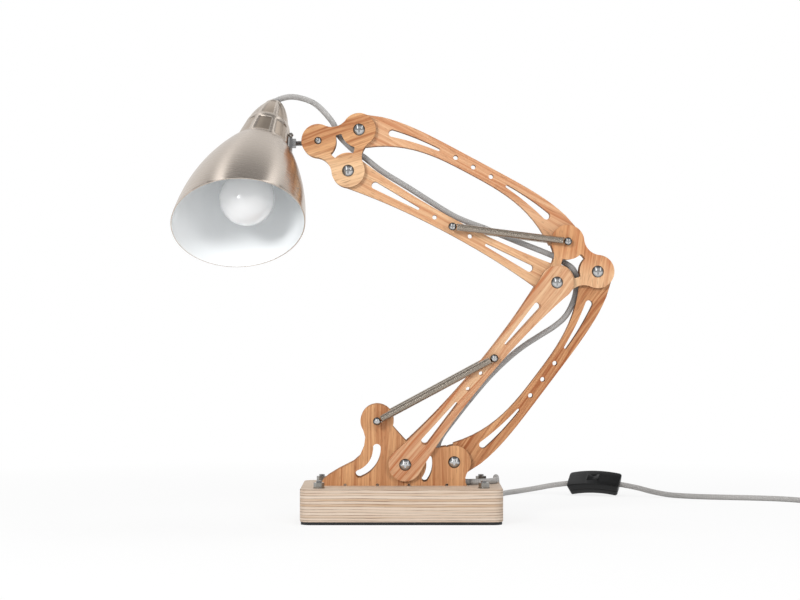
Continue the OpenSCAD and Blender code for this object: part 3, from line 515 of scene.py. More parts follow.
def threaded(name, base, pitch=0.001):
    """Steel with the turns of an upright thread as its relief."""
    made, tree, shader = material(name, Metallic=1.0, Base_Color=rgba(base))
    wave = calc(tree, "SINE", calc(tree, "MULTIPLY", separate(tree, place(tree))[2], 2 * math.pi / pitch))
    tree.links.new(spread(tree, wave, -1, 1, 0.42, 0.26), shader.inputs["Roughness"])
    raise_surface(tree, shader, wave, 0.0002, 0.8)
    return made


def lead_cloth():
    """Grey textile braid, a little worn, with painted shade in the grooves between its strands."""
    c = colours()
    made, tree, shader = material("braided_lead", Sheen_Weight=0.25, Sheen_Roughness=0.5)
    out = use(tree, "braid", {"Vector": coordinates(tree, "UV"), "Strands": 12.0, "Pitch": 0.0021})
    worn = noise(tree, place(tree), (60, 60, 60), 3.0)
    # partly painted shade, partly wear: low parts of the braid and random worn patches both turn a darker
    # grey
    tone = weigh(tree, (out["Height"], 0.45), (worn, 0.3))
    groove_shade_and_wear = rgba([x * 0.6 for x in c.braid])
    cloth = mix(tree, spread(tree, tone, 0.1, 0.6), groove_shade_and_wear, rgba(c.braid))
    cloth = mix(tree, calc(tree, "MULTIPLY", out["Mask"], 0.16), cloth, CLOTH_FLECK)
    tree.links.new(cloth, shader.inputs["Base Color"])
    tree.links.new(spread(tree, worn, 0.3, 0.7, 0.68, 0.85), shader.inputs["Roughness"])
    raise_surface(tree, shader, out["Height"], 0.00035, 0.8)
    return made


# ---- modelling helpers -----------------------------------------------------------


def clear():
    """Object mode with nothing selected."""
    if bpy.context.mode != "OBJECT":
        bpy.ops.object.mode_set(mode="OBJECT")
    bpy.ops.object.select_all(action="DESELECT")


def smooth_through(points, steps):
    """Points along a smooth curve through the given ones, steps to each span."""
    last = len(points) - 1
    made = []
    for i in range(last):
        a = points[i - 1] if i else 2 * points[0] - points[1]
        b, c = points[i], points[i + 1]
        d = points[i + 2] if i < last - 1 else 2 * points[last] - points[last - 1]
        for k in range(steps):
            t = k / steps
            made.append(
                0.5 * ((2 * b) + (c - a) * t + (2 * a - 5 * b + 4 * c - d) * t * t
                       + (3 * b - a - 3 * c + d) * t ** 3)
            )
    return made + [points[last].copy()]


def tube(name, points, diameter, sides, finish, first=0, last=None, carried=None):
    """A closed tube along points first to last; its UV is one turn in U and metres in V.

    carried takes the turn and the metres over from the stretch before to the one after."""
    last = len(points) - 1 if last is None else last
    carried = {} if carried is None else carried
    rings, normal, run = [], carried.get("normal"), [carried.get("run", 0.0)]
    for i in range(first, last + 1):
        p = points[i]
        ahead = (points[min(i + 1, len(points) - 1)] - points[max(i - 1, 0)]).normalized()
        if normal is None:
            normal = ahead.orthogonal().normalized()
        normal = (normal - ahead * normal.dot(ahead)).normalized()
        side = ahead.cross(normal)
        rings.append([
            p + (normal * math.cos(a) + side * math.sin(a)) * diameter / 2
            for a in (2 * math.pi * k / sides for k in range(sides))
        ])
        if i > first:
            run.append(run[-1] + (p - points[i - 1]).length)
    carried.update(normal=normal, run=run[-1])
    mesh = bpy.data.meshes.new(name)
    faces, uvs = [], []
    for i in range(len(rings) - 1):
        for k in range(sides):
            j = (k + 1) % sides
            faces.append((i * sides + k, i * sides + j, (i + 1) * sides + j, (i + 1) * sides + k))
            uvs += [(k / sides, run[i]), ((k + 1) / sides, run[i]),
                    ((k + 1) / sides, run[i + 1]), (k / sides, run[i + 1])]
    faces.append(tuple(reversed(range(sides))))
    faces.append(tuple((len(rings) - 1) * sides + k for k in range(sides)))
    uvs += [(0.5, run[0])] * sides + [(0.5, run[-1])] * sides
    mesh.from_pydata([v for ring in rings for v in ring], [], faces)
    layer = mesh.uv_layers.new(name="UVMap")
    for loop, uv in zip(layer.data, uvs):
        loop.uv = uv
    mesh.polygons.foreach_set("use_smooth", [len(f) == 4 for f in faces])
    mesh.materials.append(finish)
    made = bpy.data.objects.new(name, mesh)
    bpy.context.scene.collection.objects.link(made)
    return made


def take(name, finishes):
    """Names the active object, sets its place into its mesh and gives it its finishes."""
    if bpy.context.mode != "OBJECT":
        bpy.ops.object.mode_set(mode="OBJECT")
    made = bpy.context.object
    bpy.ops.object.transform_apply(location=True, rotation=True, scale=True)
    made.name = made.data.name = name
    made.data.materials.clear()
    for finish in finishes:
        made.data.materials.append(finish)
    return made


def pick(kind, test):
    """Selects, in edit mode, the faces or edges that pass the test on their middle and element."""
    mesh = bmesh.from_edit_mesh(bpy.context.object.data)
    for part in (mesh.faces, mesh.edges, mesh.verts):
        for element in part:
            element.select = False
    found = 0
    for element in getattr(mesh, kind):
        middle = sum((v.co for v in element.verts), Vector()) / len(element.verts)
        if test(middle, element):
            element.select_set(True)
            found += 1
    mesh.select_flush_mode()
    bmesh.update_edit_mesh(bpy.context.object.data)
    if not found:
        raise RuntimeError(f"{bpy.context.object.name}: no {kind} were found to select")


def is_upright(middle, edge):
    return abs(edge.verts[0].co.z - edge.verts[1].co.z) > 0.01


def mode(kind):
    bpy.ops.mesh.select_mode(type=kind)


def start_box(at, size):
    """A box of that size about that place, left in edit mode."""
    clear()
    bpy.ops.mesh.primitive_cube_add(size=1, location=at, scale=size)
    bpy.ops.object.transform_apply(location=True, rotation=True, scale=True)
    bpy.ops.object.mode_set(mode="EDIT")


def cut(at, square_to, **settings):
    """Cuts all that is in edit mode along a plane."""
    bpy.ops.mesh.select_all(action="SELECT")
    bpy.ops.mesh.bisect(plane_co=at, plane_no=square_to, **settings)


def face_outwards():
    bpy.ops.mesh.select_all(action="SELECT")
    bpy.ops.mesh.normals_make_consistent(inside=False)


def modify(made, kind, **settings):
    """Adds a modifier and applies it."""
    clear()
    bpy.context.view_layer.objects.active = made
    made.select_set(True)
    modifier = made.modifiers.new(kind.title(), kind)
    for key, value in settings.items():
        setattr(modifier, key, value)
    bpy.ops.object.modifier_apply(modifier=modifier.name)


def round_edges(made, width, segments, angle):
    """Bevels the edges that turn by more than that angle, in degrees."""
    modify(
        made, "BEVEL", width=width, segments=segments, limit_method="ANGLE", angle_limit=math.radians(angle)
    )


def soften(made, angle=35):
    """Shades the piece smooth, apart from edges that turn by more than that angle, in degrees."""
    clear()
    bpy.context.view_layer.objects.active = made
    made.select_set(True)
    bpy.ops.object.shade_smooth_by_angle(angle=math.radians(angle))


def turned(profile, steps):
    """A profile of (radius, height) points, drawn point by point and spun about Z, left in edit mode."""
    clear()
    bpy.ops.mesh.primitive_plane_add(size=0.001)
    bpy.ops.object.mode_set(mode="EDIT")
    mode("VERT")
    bpy.ops.mesh.select_all(action="SELECT")
    bpy.ops.mesh.merge(type="CENTER")
    bpy.ops.transform.translate(value=(profile[0][0], 0, profile[0][1]))
    for a, b in zip(profile, profile[1:]):
        bpy.ops.mesh.extrude_vertices_move(
            TRANSFORM_OT_translate={"value": (b[0] - a[0], 0, b[1] - a[1])}
        )
    bpy.ops.mesh.select_all(action="SELECT")
    bpy.ops.mesh.spin(steps=steps, angle=2 * math.pi, center=(0, 0, 0), axis=(0, 0, 1))
    bpy.ops.mesh.select_all(action="SELECT")
    bpy.ops.mesh.remove_doubles(threshold=1e-5)
    face_outwards()
    return bpy.context.object


def wrap_uv(made, radius):
    """UVs for a turned piece about Z: metres round at that radius in U, and height in V."""
    mesh = made.data
    layer = mesh.uv_layers.get("UVMap") or mesh.uv_layers.new(name="UVMap")
    for face in mesh.polygons:
        centre = math.atan2(face.center.y, face.center.x)
        for i in face.loop_indices:
            p = mesh.vertices[mesh.loops[i].vertex_index].co
            a = math.atan2(p.y, p.x) if p.xy.length > 1e-6 else centre
            a = centre + (a - centre + math.pi) % (2 * math.pi) - math.pi
            layer.data[i].uv = (a * radius, p.z)


def settle(made, matrix):
    """Moves a finished mesh to its place, with its object left at the origin."""
    made.data.transform(matrix)
    made.data.update()


def dress(names, finish):
    """Gives CAD nodes a finish."""
    for name in names:
        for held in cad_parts[name].material_slots:
            held.material = finish


FINISHES = {}


# ---- operators ---------------------------------------------------------------------


class LampPiece:
    """What the operators share: they run once, raise on failure and can be undone."""

    bl_options = {"REGISTER", "UNDO"}

    def execute(self, context):
        self.build()
        return {"FINISHED"}


class LAMP_OT_camera(LampPiece, bpy.types.Operator):
    """Sets the camera level with the middle of the lamp, far in front of it"""

    bl_idname = "lamp.camera"
    bl_label = "Camera"

    def build(self):
        clear()
        bpy.ops.object.camera_add(location=CAMERA_AT, rotation=(math.radians(90), 0, 0))
        camera = bpy.context.object
        camera.name = "camera"
        camera.data.sensor_width = 36
        camera.data.lens = FOCAL_PIXELS * camera.data.sensor_width / VIEW_PIXELS
        camera.data.clip_start, camera.data.clip_end = 0.05, 60
        bpy.context.scene.camera = camera


class LAMP_OT_finishes(LampPiece, bpy.types.Operator):
    """Builds the shared effects and every finish of the lamp"""

    bl_idname = "lamp.finishes"
    bl_label = "Finishes"

    def build(self):
        GROUPS.update(
            wood_grain=wood_grain_group(), ply_layers=layers_group(), handling=handling_group(),
            brushing=brushing_group(), braid=braid_group(),
        )
        c = colours()
        FINISHES["lead"] = lead_cloth()
        FINISHES["steel"] = metal("plain_steel", c.steel, 0.36)
        FINISHES["bright"] = self.domed_chrome()
        FINISHES["nut"] = metal("bright_nut", linear(0.60, 0.59, 0.57), 0.22, brushed=False)
        FINISHES["spring"] = metal("spring_wire", linear(0.76, 0.72, 0.67), 0.24, brushed=False)
        FINISHES["thread_up"] = threaded("threaded_bolt", c.steel)
        FINISHES["nickel"] = self.spun_nickel()
        # painted shade: the sunk panels of the cover get a darker, warmer nickel than its ribs
        sunk = [x * f for x, f in zip(c.nickel, (0.77, 0.73, 0.68))]
        FINISHES["panel"] = metal("brushed_panel", sunk, 0.30, uv=True)
        FINISHES["white"] = self.inner_paint()
        FINISHES["black"] = plastic("moulded_black", c.black, 0.30, 0.00004, Specular_IOR_Level=0.3)
        paler = [x * 1.3 for x in c.black]
        FINISHES["rocker"] = plastic("rocker_black", paler, 0.32, Specular_IOR_Level=0.3)
        FINISHES["rubber"] = plastic("rubber_sheet", RUBBER, 0.7, 0.0001)
        FINISHES["holder"] = plastic("holder_white", linear(0.90, 0.89, 0.87), 0.35)
        FINISHES["block"] = self.block_wood()
        FINISHES["bulb"] = self.frosted()

    def spun_nickel(self):
        """Satin nickel, brushed round the axis it was spun about."""
        c = colours()
        made = metal("spun_nickel", c.nickel, 0.26, uv=True, Anisotropic=0.8, Anisotropic_Rotation=0.25)
        tree = made.node_tree
        along = node(tree, "ShaderNodeTangent", direction_type="UV_MAP", uv_map="UVMap")
        tree.links.new(along.outputs[0], tree.nodes["Principled BSDF"].inputs["Tangent"])
        return made

    def domed_chrome(self):
        """Chrome on domes that face along Y, with a painted dark ring round their rims: a painted
        reflection of a dark room.
        """
        c = colours()
        made = metal("bright_screw", c.chrome, 0.14, brushed=False)
        tree = made.node_tree
        # painted reflection: the domes turn to near black towards their rims, by how far their faces turn
        # from Y
        share = spread(tree, facing(tree, 1), 0.64, 0.90, 0.93, 0.0)
        ring = mix(tree, share, rgba([x * 0.84 for x in c.chrome]), SCREW_RIM_SHADE)
        tree.links.new(ring, tree.nodes["Principled BSDF"].inputs["Base Color"])
        return made

    def inner_paint(self):
        """White enamel with a faint orange peel."""
        c = colours()
        made, tree, shader = material(
            "inner_white", Base_Color=rgba(c.white), Coat_Weight=0.15, Coat_Roughness=0.2
        )
        vector = place(tree)
        handle(tree, shader, vector, 0.38, 0.1)
        raise_surface(tree, shader, noise(tree, vector, (700, 700, 700), 2.0), 0.00003, 0.4)
        return made

    def frosted(self):
        """White glass that light goes into, under a smooth outer face."""
        made, tree, shader = material(
            "frosted_glass", Base_Color=GLASS_WHITE, Coat_Weight=1.0, Coat_Roughness=0.05,
            Coat_IOR=1.7, Subsurface_Weight=1.0, Subsurface_Scale=0.05, Subsurface_Radius=(1, 1, 1),
        )
        handle(tree, shader, place(tree), 0.42, 0.1)
        return made

    def block_wood(self):
        """Thick plywood: its layers on the sides, plain grain on the top and underneath."""
        c = colours()
        made, tree, shader = material("block_ply", Specular_IOR_Level=0.3)
        vector = place(tree, shift=(0.2, 0.1, 0))
        side = use(tree, "ply_layers", {
            "Vector": vector, "Pale": rgba(c.ply_pale), "Tan": rgba(c.ply_tan),
            "Layer": 0.0029, "Glue": BLOCK_GLUE,
        })
        top = use(tree, "wood_grain", {
            "Vector": place(tree, (math.radians(90), 0, 0)), "Pale": rgba(c.ply_pale),
            "Deep": rgba(linear(0.70, 0.60, 0.50)), "Figure": 0.9,
        })
        is_top = calc(tree, "GREATER_THAN", facing(tree, 2), 0.8)
        tree.links.new(mix(tree, is_top, side["Color"], top["Color"]), shader.inputs["Base Color"])
        tree.links.new(spread(tree, side["Height"], -1, 0.5, 0.75, 0.55), shader.inputs["Roughness"])
        raise_surface(tree, shader, side["Height"], 0.0002, 0.5)
        return made


class LAMP_OT_free_lead(LampPiece, bpy.types.Operator):
    """Lays the free lead: over the base, through the switch, into the coil and to the plug"""

    bl_idname = "lamp.free_lead"
    bl_label = "Free Lead"

    def build(self):
        d = sizes().lead_diameter
        to_coil = ROUTE_TO_SWITCH + ROUTE_IN_SWITCH + ROUTE_FROM_SWITCH
        route = smooth_through(to_coil + self.coil(d, 175, 200), 4)
        route += smooth_through(self.coil(d, 180, 1620), 1)[4:]
        route += smooth_through([route[-1]] + ROUTE_TO_PLUG, 4)[1:]
        route = self.thinned(route)
        lead = tube("free_lead_braid", route, d, 12, FINISHES["lead"])
        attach(lead, "base")
        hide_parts("free_lead", "lead_coil")
        run = sum((b - a).length for a, b in zip(route, route[1:]))
        LAMP_OT_free_lead.lead, LAMP_OT_free_lead.route, LAMP_OT_free_lead.run = lead, route, run

    def coil(self, d, first, last):
        """Points of the coil between two angles: two turns side by side, then two on top."""
        inwards, upwards, outwards = (425, 535), (835, 900), (1262, 1345)
        made = []
        for a in range(first, last + 1, 5):
            r = COIL_RADIUS - d * self.ease(a, *inwards) + d * self.ease(a, *outwards)
            z = LEAD_REST + d * self.ease(a, *upwards)
            turn = math.radians(a)
            made.append(Vector((COIL_AT[0] + r * math.cos(turn), COIL_AT[1] + r * math.sin(turn), z)))
        return made

    def ease(self, a, start, end):
        """0 up to start, 1 from end on, and smooth between them."""
        t = min(max((a - start) / (end - start), 0), 1)
        return t * t * (3 - 2 * t)

    def thinned(self, points):
        """Without points closer than 1.2 mm to the one before."""
        made = [points[0]]
        for p in points[1:]:
            if (p - made[-1]).length > 0.0012:
                made.append(p)
        return made


class LAMP_OT_held_lead(LampPiece, bpy.types.Operator):
    """Runs the lead between the plates and over the head, in stretches that meet end to end"""

    bl_idname = "lamp.held_lead"
    bl_label = "Lead Along the Arm"

    def build(self):
        steps = 6
        route, carried = smooth_through(HELD_ROUTE, steps), {}
        for name, first, last, a, b, start, end, stands_for in HELD_STRETCHES:
            made = tube(
                name, route, sizes().lead_diameter, 12, FINISHES["lead"], first * steps, last * steps,
                carried,
            )
            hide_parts(stands_for)
            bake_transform(made)


class LAMP_OT_springs(LampPiece, bpy.types.Operator):
    """Winds the four springs, each one wire from hook to hook"""

    bl_idname = "lamp.springs"
    bl_label = "Springs"
    # from a screw's middle to the first turn, and the size of the loop round the screw
    from_screw, loop_radius = 0.0051, 0.0033
    points_per_turn = 13

    def build(self):
        half = sizes().spring_diameter / MM / 2
        for pair, p, q, plates_out in (
            ("lower", SPRING_POST, LOWER_HOOK, LOWER_PLATES_OUT),
            ("upper", ELBOW_TOP, UPPER_HOOK, UPPER_PLATES_OUT),
        ):
            for side, sign in (("near", -1), ("far", 1)):
                self.wind(pair, side, p, q, sign * (plates_out + half + SPRING_PLAY))

    def wind(self, pair, side, p, q, y):
        """One spring from the screw at p to the screw at q."""
        s = sizes()
        a, b = Vector((p[0], y, p[1])) * MM, Vector((q[0], y, q[1])) * MM
        axis = (b - a).normalized()
        wire, mid = s.wire_diameter, (s.spring_diameter - s.wire_diameter) / 2
        span = (b - a).length - 2 * self.from_screw
        turns = round(span / (wire + s.turn_gap))
        across = Vector((0, 1, 0))
        up = axis.cross(across)
        steps = turns * self.points_per_turn
        coil = []
        for i in range(steps + 1):
            t = 2 * math.pi * i / self.points_per_turn - math.pi / 2
            run = self.from_screw + span * i / steps
            coil.append(a + axis * run + (across * math.cos(t) + up * math.sin(t)) * mid)
        first = self.hook(a, axis, up, coil[0], across)
        last = self.hook(b, -axis, up, coil[-1], -across)
        path = first + coil[1:-1] + last[::-1]
        made = tube(f"{pair}_spring_{side}_wire", path, wire, 6, FINISHES["spring"])
        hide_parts(f"{pair}_spring_{side}", *([f"{pair}_spring_hooks"] if side == "near" else []))
        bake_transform(made)

    def hook(self, centre, axis, up, target, heading):
        """A loop round the screw, from 35 to 300 degrees, and a bend into the first turn."""
        start, end, loop_steps, bend_steps, pull = 35, 300, 20, 7, 0.002
        made = []
        for k in range(loop_steps + 1):
            t = math.radians(start + (end - start) * k / loop_steps)
            made.append(centre + (axis * math.cos(t) + up * math.sin(t)) * self.loop_radius)
        t = math.radians(end)
        leave = (up * math.cos(t) - axis * math.sin(t)).normalized()
        p0, p3 = made[-1], target
        p1, p2 = p0 + leave * pull, p3 - heading * pull
        for k in range(1, bend_steps + 1):
            u = k / bend_steps
            v = 1 - u
            made.append(p0 * v ** 3 + p1 * 3 * u * v ** 2 + p2 * 3 * u * u * v + p3 * u ** 3)
        return made


class LAMP_OT_shade(LampPiece, bpy.types.Operator):
    """Spins the shade, cuts its slanted mouth and paints it white inside"""

    bl_idname = "lamp.shade"
    bl_label = "Shade"

    def build(self):
        deep, neck, flare, steps = 0.132, 0.0319, 0.0391, 30
        profile = [(0.0193, 0.0), (0.0295, 0.0), (0.0311, -0.0002)]
        for i in range(1, steps + 1):
            s = i / steps
            profile.append((neck + flare * (1 - (1 - s) ** 2.2), -deep * s))
        made = turned(profile, 96)
        slant = Matrix.Rotation(math.radians(-14.26), 3, "Y")
        turn = Matrix.Rotation(math.radians(-14.6), 3, "Z")
        cut((0, 0, -0.1065), (turn @ slant) @ Vector((0, 0, 1)), clear_inner=True)
        face_outwards()
        made = take("shade_spun", [FINISHES["nickel"], FINISHES["white"]])
        modify(
            made, "SOLIDIFY", thickness=sizes().shade_wall, offset=-1, material_offset=1,
            material_offset_rim=0,
        )
        round_edges(made, 0.00035, 2, 50)
        wrap_uv(made, 0.06)
        settle(made, SHADE_PLACE)
        soften(made, 40)
        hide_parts("shade")
        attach(made, "shade")


class LAMP_OT_cover(LampPiece, bpy.types.Operator):
    """Spins the lampholder's cover and sinks the panels between its ribs"""

    bl_idname = "lamp.cover"
    bl_label = "Ribbed Cover"

    def build(self):
        s = sizes()
        faces_per_rib, tall, foot, bead = 5, 0.064, 0.0001, 0.45
        low_row, high_row = (0.03, 0.405), (0.495, 0.945)
        # shares of the height, with the bead between the two rows of panels
        heights = [0.0, 0.03, 0.10, 0.18, 0.27, 0.35, 0.405, 0.425, bead, 0.475, 0.495, 0.56, 0.65, 0.74,
                   0.82, 0.89, 0.945, 0.972, 0.99]
        profile = []
        for h in heights:
            r = 0.0305 - 0.0125 * h - 0.0093 * h ** 4 + (0.0003 if h == bead else 0)
            profile.append((r, foot + (tall - foot) * h))
        profile += [(profile[-1][0] - 0.0012, tall), (0.0034, tall)]
        made = turned(profile, s.ribs * faces_per_rib)
        mode("FACE")
        rib_to_rib = 2 * math.pi / s.ribs

        def is_panel(middle, face):
            h = middle.z / tall
            a = (math.atan2(middle.y, middle.x) % rib_to_rib) / rib_to_rib * faces_per_rib
            on_rib = 2 <= a < 3
            return not on_rib and (low_row[0] < h < low_row[1] or high_row[0] < h < high_row[1])

        pick("faces", is_panel)
        bpy.ops.mesh.inset(thickness=0.0009, depth=-s.panel_sink, use_boundary=True)
        made = take("cover_ribbed", [FINISHES["nickel"], FINISHES["panel"]])
        # the sunk panels take the second finish, the darker nickel of painted shade
        for face in made.data.polygons:
            face.material_index = int(face.select)
        modify(made, "SOLIDIFY", thickness=0.0009, offset=-1)
        modify(made, "SUBSURF", levels=2, render_levels=2)
        wrap_uv(made, 0.025)
        settle(made, SHADE_PLACE)
        soften(made, 60)
        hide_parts("lampholder_cover")
        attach(made, "shade")


class LAMP_OT_bulb(LampPiece, bpy.types.Operator):
    """Blows the frosted bulb"""

    bl_idname = "lamp.bulb"
    bl_label = "Bulb"

    def build(self):
        r = sizes().bulb_radius
        centre = -0.072
        angles = [math.radians(a) for a in range(0, 111, 6)]
        profile = [(r * math.sin(a), centre - r * math.cos(a)) for a in angles]
        profile += [(0.0253, -0.0545), (0.0222, -0.0475), (0.0187, -0.0402), (0.0160, -0.0345),
                    (0.0142, -0.0298), (0.0131, -0.0255), (0.0, -0.0250)]
        made = turned(profile, 48)
        made = take("bulb_frosted", [FINISHES["bulb"]])
        modify(made, "SUBSURF", levels=1, render_levels=1)
        settle(made, SHADE_PLACE)
        soften(made, 60)
        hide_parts("bulb_globe")
        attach(made, "shade")


class LAMP_OT_base(LampPiece, bpy.types.Operator):
    """Rounds and finishes the base block"""

    bl_idname = "lamp.base"
    bl_label = "Base Block"

    def build(self):
        low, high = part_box("base_block")
        start_box((low + high) / 2, high - low)
        mode("EDGE")
        pick("edges", is_upright)
        bpy.ops.mesh.bevel(offset=0.012, segments=12, affect="EDGES")

        def on_rim(middle, edge):
            flat = abs(edge.verts[0].co.z - edge.verts[1].co.z) < 1e-5
            return flat and (abs(middle.z - high.z) < 1e-5 or abs(middle.z - low.z) < 1e-5)

        pick("edges", on_rim)
        bpy.ops.mesh.bevel(offset=sizes().block_edge, segments=3, affect="EDGES")
        made = take("base_ply_block", [FINISHES["block"]])
        soften(made, 40)
        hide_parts("base_block")
        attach(made, "base")
        dress(["base_pad"], FINISHES["rubber"])


class LAMP_OT_plates(LampPiece, bpy.types.Operator):
    """Gives each pair of plates its veneer, with the grain along the plate"""

    bl_idname = "lamp.plates"
    bl_label = "Plywood Plates"

    def build(self):
        warm = linear(0.86, 0.665, 0.48)
        rich = linear(0.60, 0.35, 0.20)
        light = linear(0.915, 0.765, 0.60)
        tan = linear(0.875, 0.735, 0.585)
        for name, nodes, angle, seed, pale, deep, figure in (
            ("bracket_veneer", "bracket", 90, 1.0, warm, rich, 1.0),
            ("lower_front_veneer", "lower_front_arm", 50.2, 2.0, tan, None, 1.05),
            ("lower_rear_veneer", "lower_rear_arm", 53, 3.0, warm, rich, 1.25),
            ("elbow_veneer", "elbow_plate", 82, 4.0, (light, warm), None, (0.266, 0.292, 0.6, 1.2)),
            ("upper_top_veneer", "upper_top_arm", -28, 5.0, None, None, 0.9),
            ("upper_bottom_veneer", "upper_bottom_arm", -28.2, 6.0, light, None, 0.75),
            ("head_veneer", "head_plate", 18, 7.0, (light, warm), rich, (0.385, 0.402, 0.45, 1.15)),
        ):
            dress([f"{nodes}_near", f"{nodes}_far"], plate_wood(name, angle, seed, pale, deep, figure))


class LAMP_OT_fittings(LampPiece, bpy.types.Operator):
    """Plates the screws, nuts, spacers, rod and lug"""

    bl_idname = "lamp.fittings"
    bl_label = "Metal Fittings"

    def build(self):
        dress(
            ["base_pivot_bolts", "elbow_pivot_bolts", "head_pivot_bolts", "base_spring_screws",
             "lower_arm_screws", "upper_arm_screws", "swivel_screws"],
            FINISHES["bright"],
        )
        dress(
            ["base_weight", "base_spacers", "elbow_spacers", "head_spacers", "swivel_block", "rod_nuts",
             "shade_lug", "bulb_cap", "cord_grip"],
            FINISHES["steel"],
        )
        dress(["base_nuts", "lug_screw"], FINISHES["nut"])
        dress(["base_bolts"], FINISHES["thread_up"])
        self.rod()
        dress(["lampholder"], FINISHES["holder"])

    def rod(self):
        """The swivel's threaded rod, with a groove to each turn of its thread."""
        major, minor, pitch = 0.0029, 0.0025, 0.001
        first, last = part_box("swivel_rod")[0].x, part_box("swivel_rod")[1].x
        turns = int((last - first) / pitch)
        step = (last - first) / turns
        profile = [(0.0, first), (minor, first)]
        for k in range(turns):
            profile += [(major, first + (k + 0.5) * step), (minor, first + (k + 1) * step)]
        profile.append((0.0, last))
        made = turned(profile, 24)
        made = take("swivel_rod_thread", [FINISHES["steel"]])
        settle(made, Matrix.Translation((0, 0, ROD_Z * MM)) @ Matrix.Rotation(math.radians(90), 4, "Y"))
        soften(made, 60)
        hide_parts("swivel_rod")
        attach(made, "swivel")


class LAMP_OT_switch(LampPiece, bpy.types.Operator):
    """Moulds the arched in-line switch and its rocker"""

    bl_idname = "lamp.switch"
    bl_label = "Switch"
    # radii of the arch's two faces, and how high the inner one stands at its middle
    inner, crown, lift = 0.110, 0.125, 0.0039
    wide, thick, half_long = 0.025, 0.015, 0.033
    # half the opening for the rocker, and between which heights the two halves of the case part
    window_x, window_y = 0.0084, 0.005
    parting = (0.0066, 0.0071)

    def build(self):
        case = self.case()
        rocker = self.rocker()
        LAMP_OT_switch.pieces = [case, rocker]

    def bend(self, made):
        """Carries X round the arch; Z is measured from the arch's inner face."""
        for v in made.data.vertices:
            a = v.co.x / self.crown
            r = self.inner + v.co.z
            v.co.x = r * math.sin(a)
            v.co.z = r * math.cos(a) - self.inner + self.lift
        made.data.update()

    def case(self):
        """The housing with its parting groove and the sunk opening for the rocker."""
        half, thick = math.asin(self.half_long / self.crown) * self.crown, self.thick
        start_box((0, 0, thick / 2), (2 * half, self.wide, thick))
        mode("EDGE")
        pick("edges", is_upright)
        bpy.ops.mesh.bevel(offset=0.0035, segments=5, affect="EDGES")
        pick("edges", lambda middle, edge: abs(middle.z - thick) < 1e-6)
        bpy.ops.mesh.bevel(offset=0.0013, segments=3, affect="EDGES")
        pick("edges", lambda middle, edge: abs(middle.z) < 1e-6)
        bpy.ops.mesh.bevel(offset=0.0008, segments=2, affect="EDGES")
        for z in self.parting:
            cut((0, 0, z), (0, 0, 1))
        mode("FACE")
        pick("faces", lambda middle, face: abs(middle.z - sum(self.parting) / 2) < 1e-4)
        bpy.ops.mesh.inset(thickness=0.00002, depth=-0.00035, use_even_offset=True)
        for k in range(-11, 12):
            cut((k * half / 12, 0, 0), (1, 0, 0))
        for sign in (-1, 1):
            cut((sign * self.window_x, 0, 0), (1, 0, 0))
        for sign in (-1, 1):
            cut((0, sign * self.window_y, 0), (0, 1, 0))
        mode("FACE")
        pick("faces", lambda middle, face: middle.z > thick - 1e-5 and abs(middle.x) < self.window_x
             and abs(middle.y) < self.window_y)
        bpy.ops.mesh.inset(thickness=0.0007, depth=0.0005)
        bpy.ops.mesh.inset(thickness=0.0004, depth=0.0)
        bpy.ops.mesh.extrude_region_move(TRANSFORM_OT_translate={"value": (0, 0, -0.0055)})
        face_outwards()
        made = take("switch_housing", [FINISHES["black"]])
        self.bend(made)
        settle(made, SWITCH_PLACE)
        soften(made, 35)
        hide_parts("switch_case")
        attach(made, "base")
        return made

    def rocker(self):
        """The rocker, hollow on top and rounded underneath, so that it clears the lead as it turns."""
        half, middle, top, rise, curl = 0.0073, 0.0165, 0.0187, 0.0017, 0.0008
        start_box((0, 0, middle), (2 * half, 0.0084, 0.0055))
        for k in range(-4, 5):
            cut((k * 0.0016, 0, 0), (1, 0, 0))
        mesh = bmesh.from_edit_mesh(bpy.context.object.data)
        for v in mesh.verts:
            outwards = abs(v.co.x) / half
            if v.co.z > middle:
                v.co.z = top + rise * outwards ** 1.6
            else:
                v.co.z += curl * outwards ** 2
        bmesh.update_edit_mesh(bpy.context.object.data)
        made = take("switch_rocker_key", [FINISHES["rocker"]])
        round_edges(made, 0.0004, 2, 50)
        settle(made, SWITCH_PLACE)
        soften(made, 35)
        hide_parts("switch_rocker")
        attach(made, "rocker")
        return made


class LAMP_OT_plug(LampPiece, bpy.types.Operator):
    """Moulds the plug with its bend relief and sets in its pins"""

    bl_idname = "lamp.plug"
    bl_label = "Plug"

    def build(self):
        start_box((0.02775, 0, 0), (0.0155, 0.0252, 0.0137))
        mode("FACE")
        pick("faces", lambda middle, face: middle.x < 0.0201)
        # each step's length, and what is left of the width and the height
        for run, wide, high in ((0.006, 0.80, 0.86), (0.006, 0.72, 0.86), (0.004, 0.72, 0.88)):
            bpy.ops.mesh.extrude_region_move(TRANSFORM_OT_translate={"value": (-run, 0, 0)})
            bpy.ops.transform.resize(value=(1, wide, high), center_override=(0, 0, 0))
        made = take("plug_moulded", [FINISHES["black"]])
        round_edges(made, 0.0022, 4, 40)
        settle(made, Matrix.Translation(PLUG_AT))
        soften(made, 35)
        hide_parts("plug_body")
        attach(made, "base")
        relief = self.relief()
        dress(["plug_pins"], FINISHES["steel"])

    def relief(self):
        """The tapered, grooved sleeve where the lead enters the plug."""
        tail, sunk = -0.0165, 0.0005
        profile = [(0.0033, tail)]
        for k in range(7):
            x, r = tail + 0.0036 * k, 0.0038 + 0.00028 * k
            profile += [(r, x), (r, x + 0.0022), (r - sunk, x + 0.0025), (r - sunk, x + 0.0033)]
        made = turned(profile + [(0.0, 0.009)], 28)
        made = take("plug_relief", [FINISHES["black"]])
        settle(made, Matrix.Translation(PLUG_AT) @ Matrix.Rotation(math.radians(90), 4, "Y"))
        soften(made, 35)
        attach(made, "base")
        return made


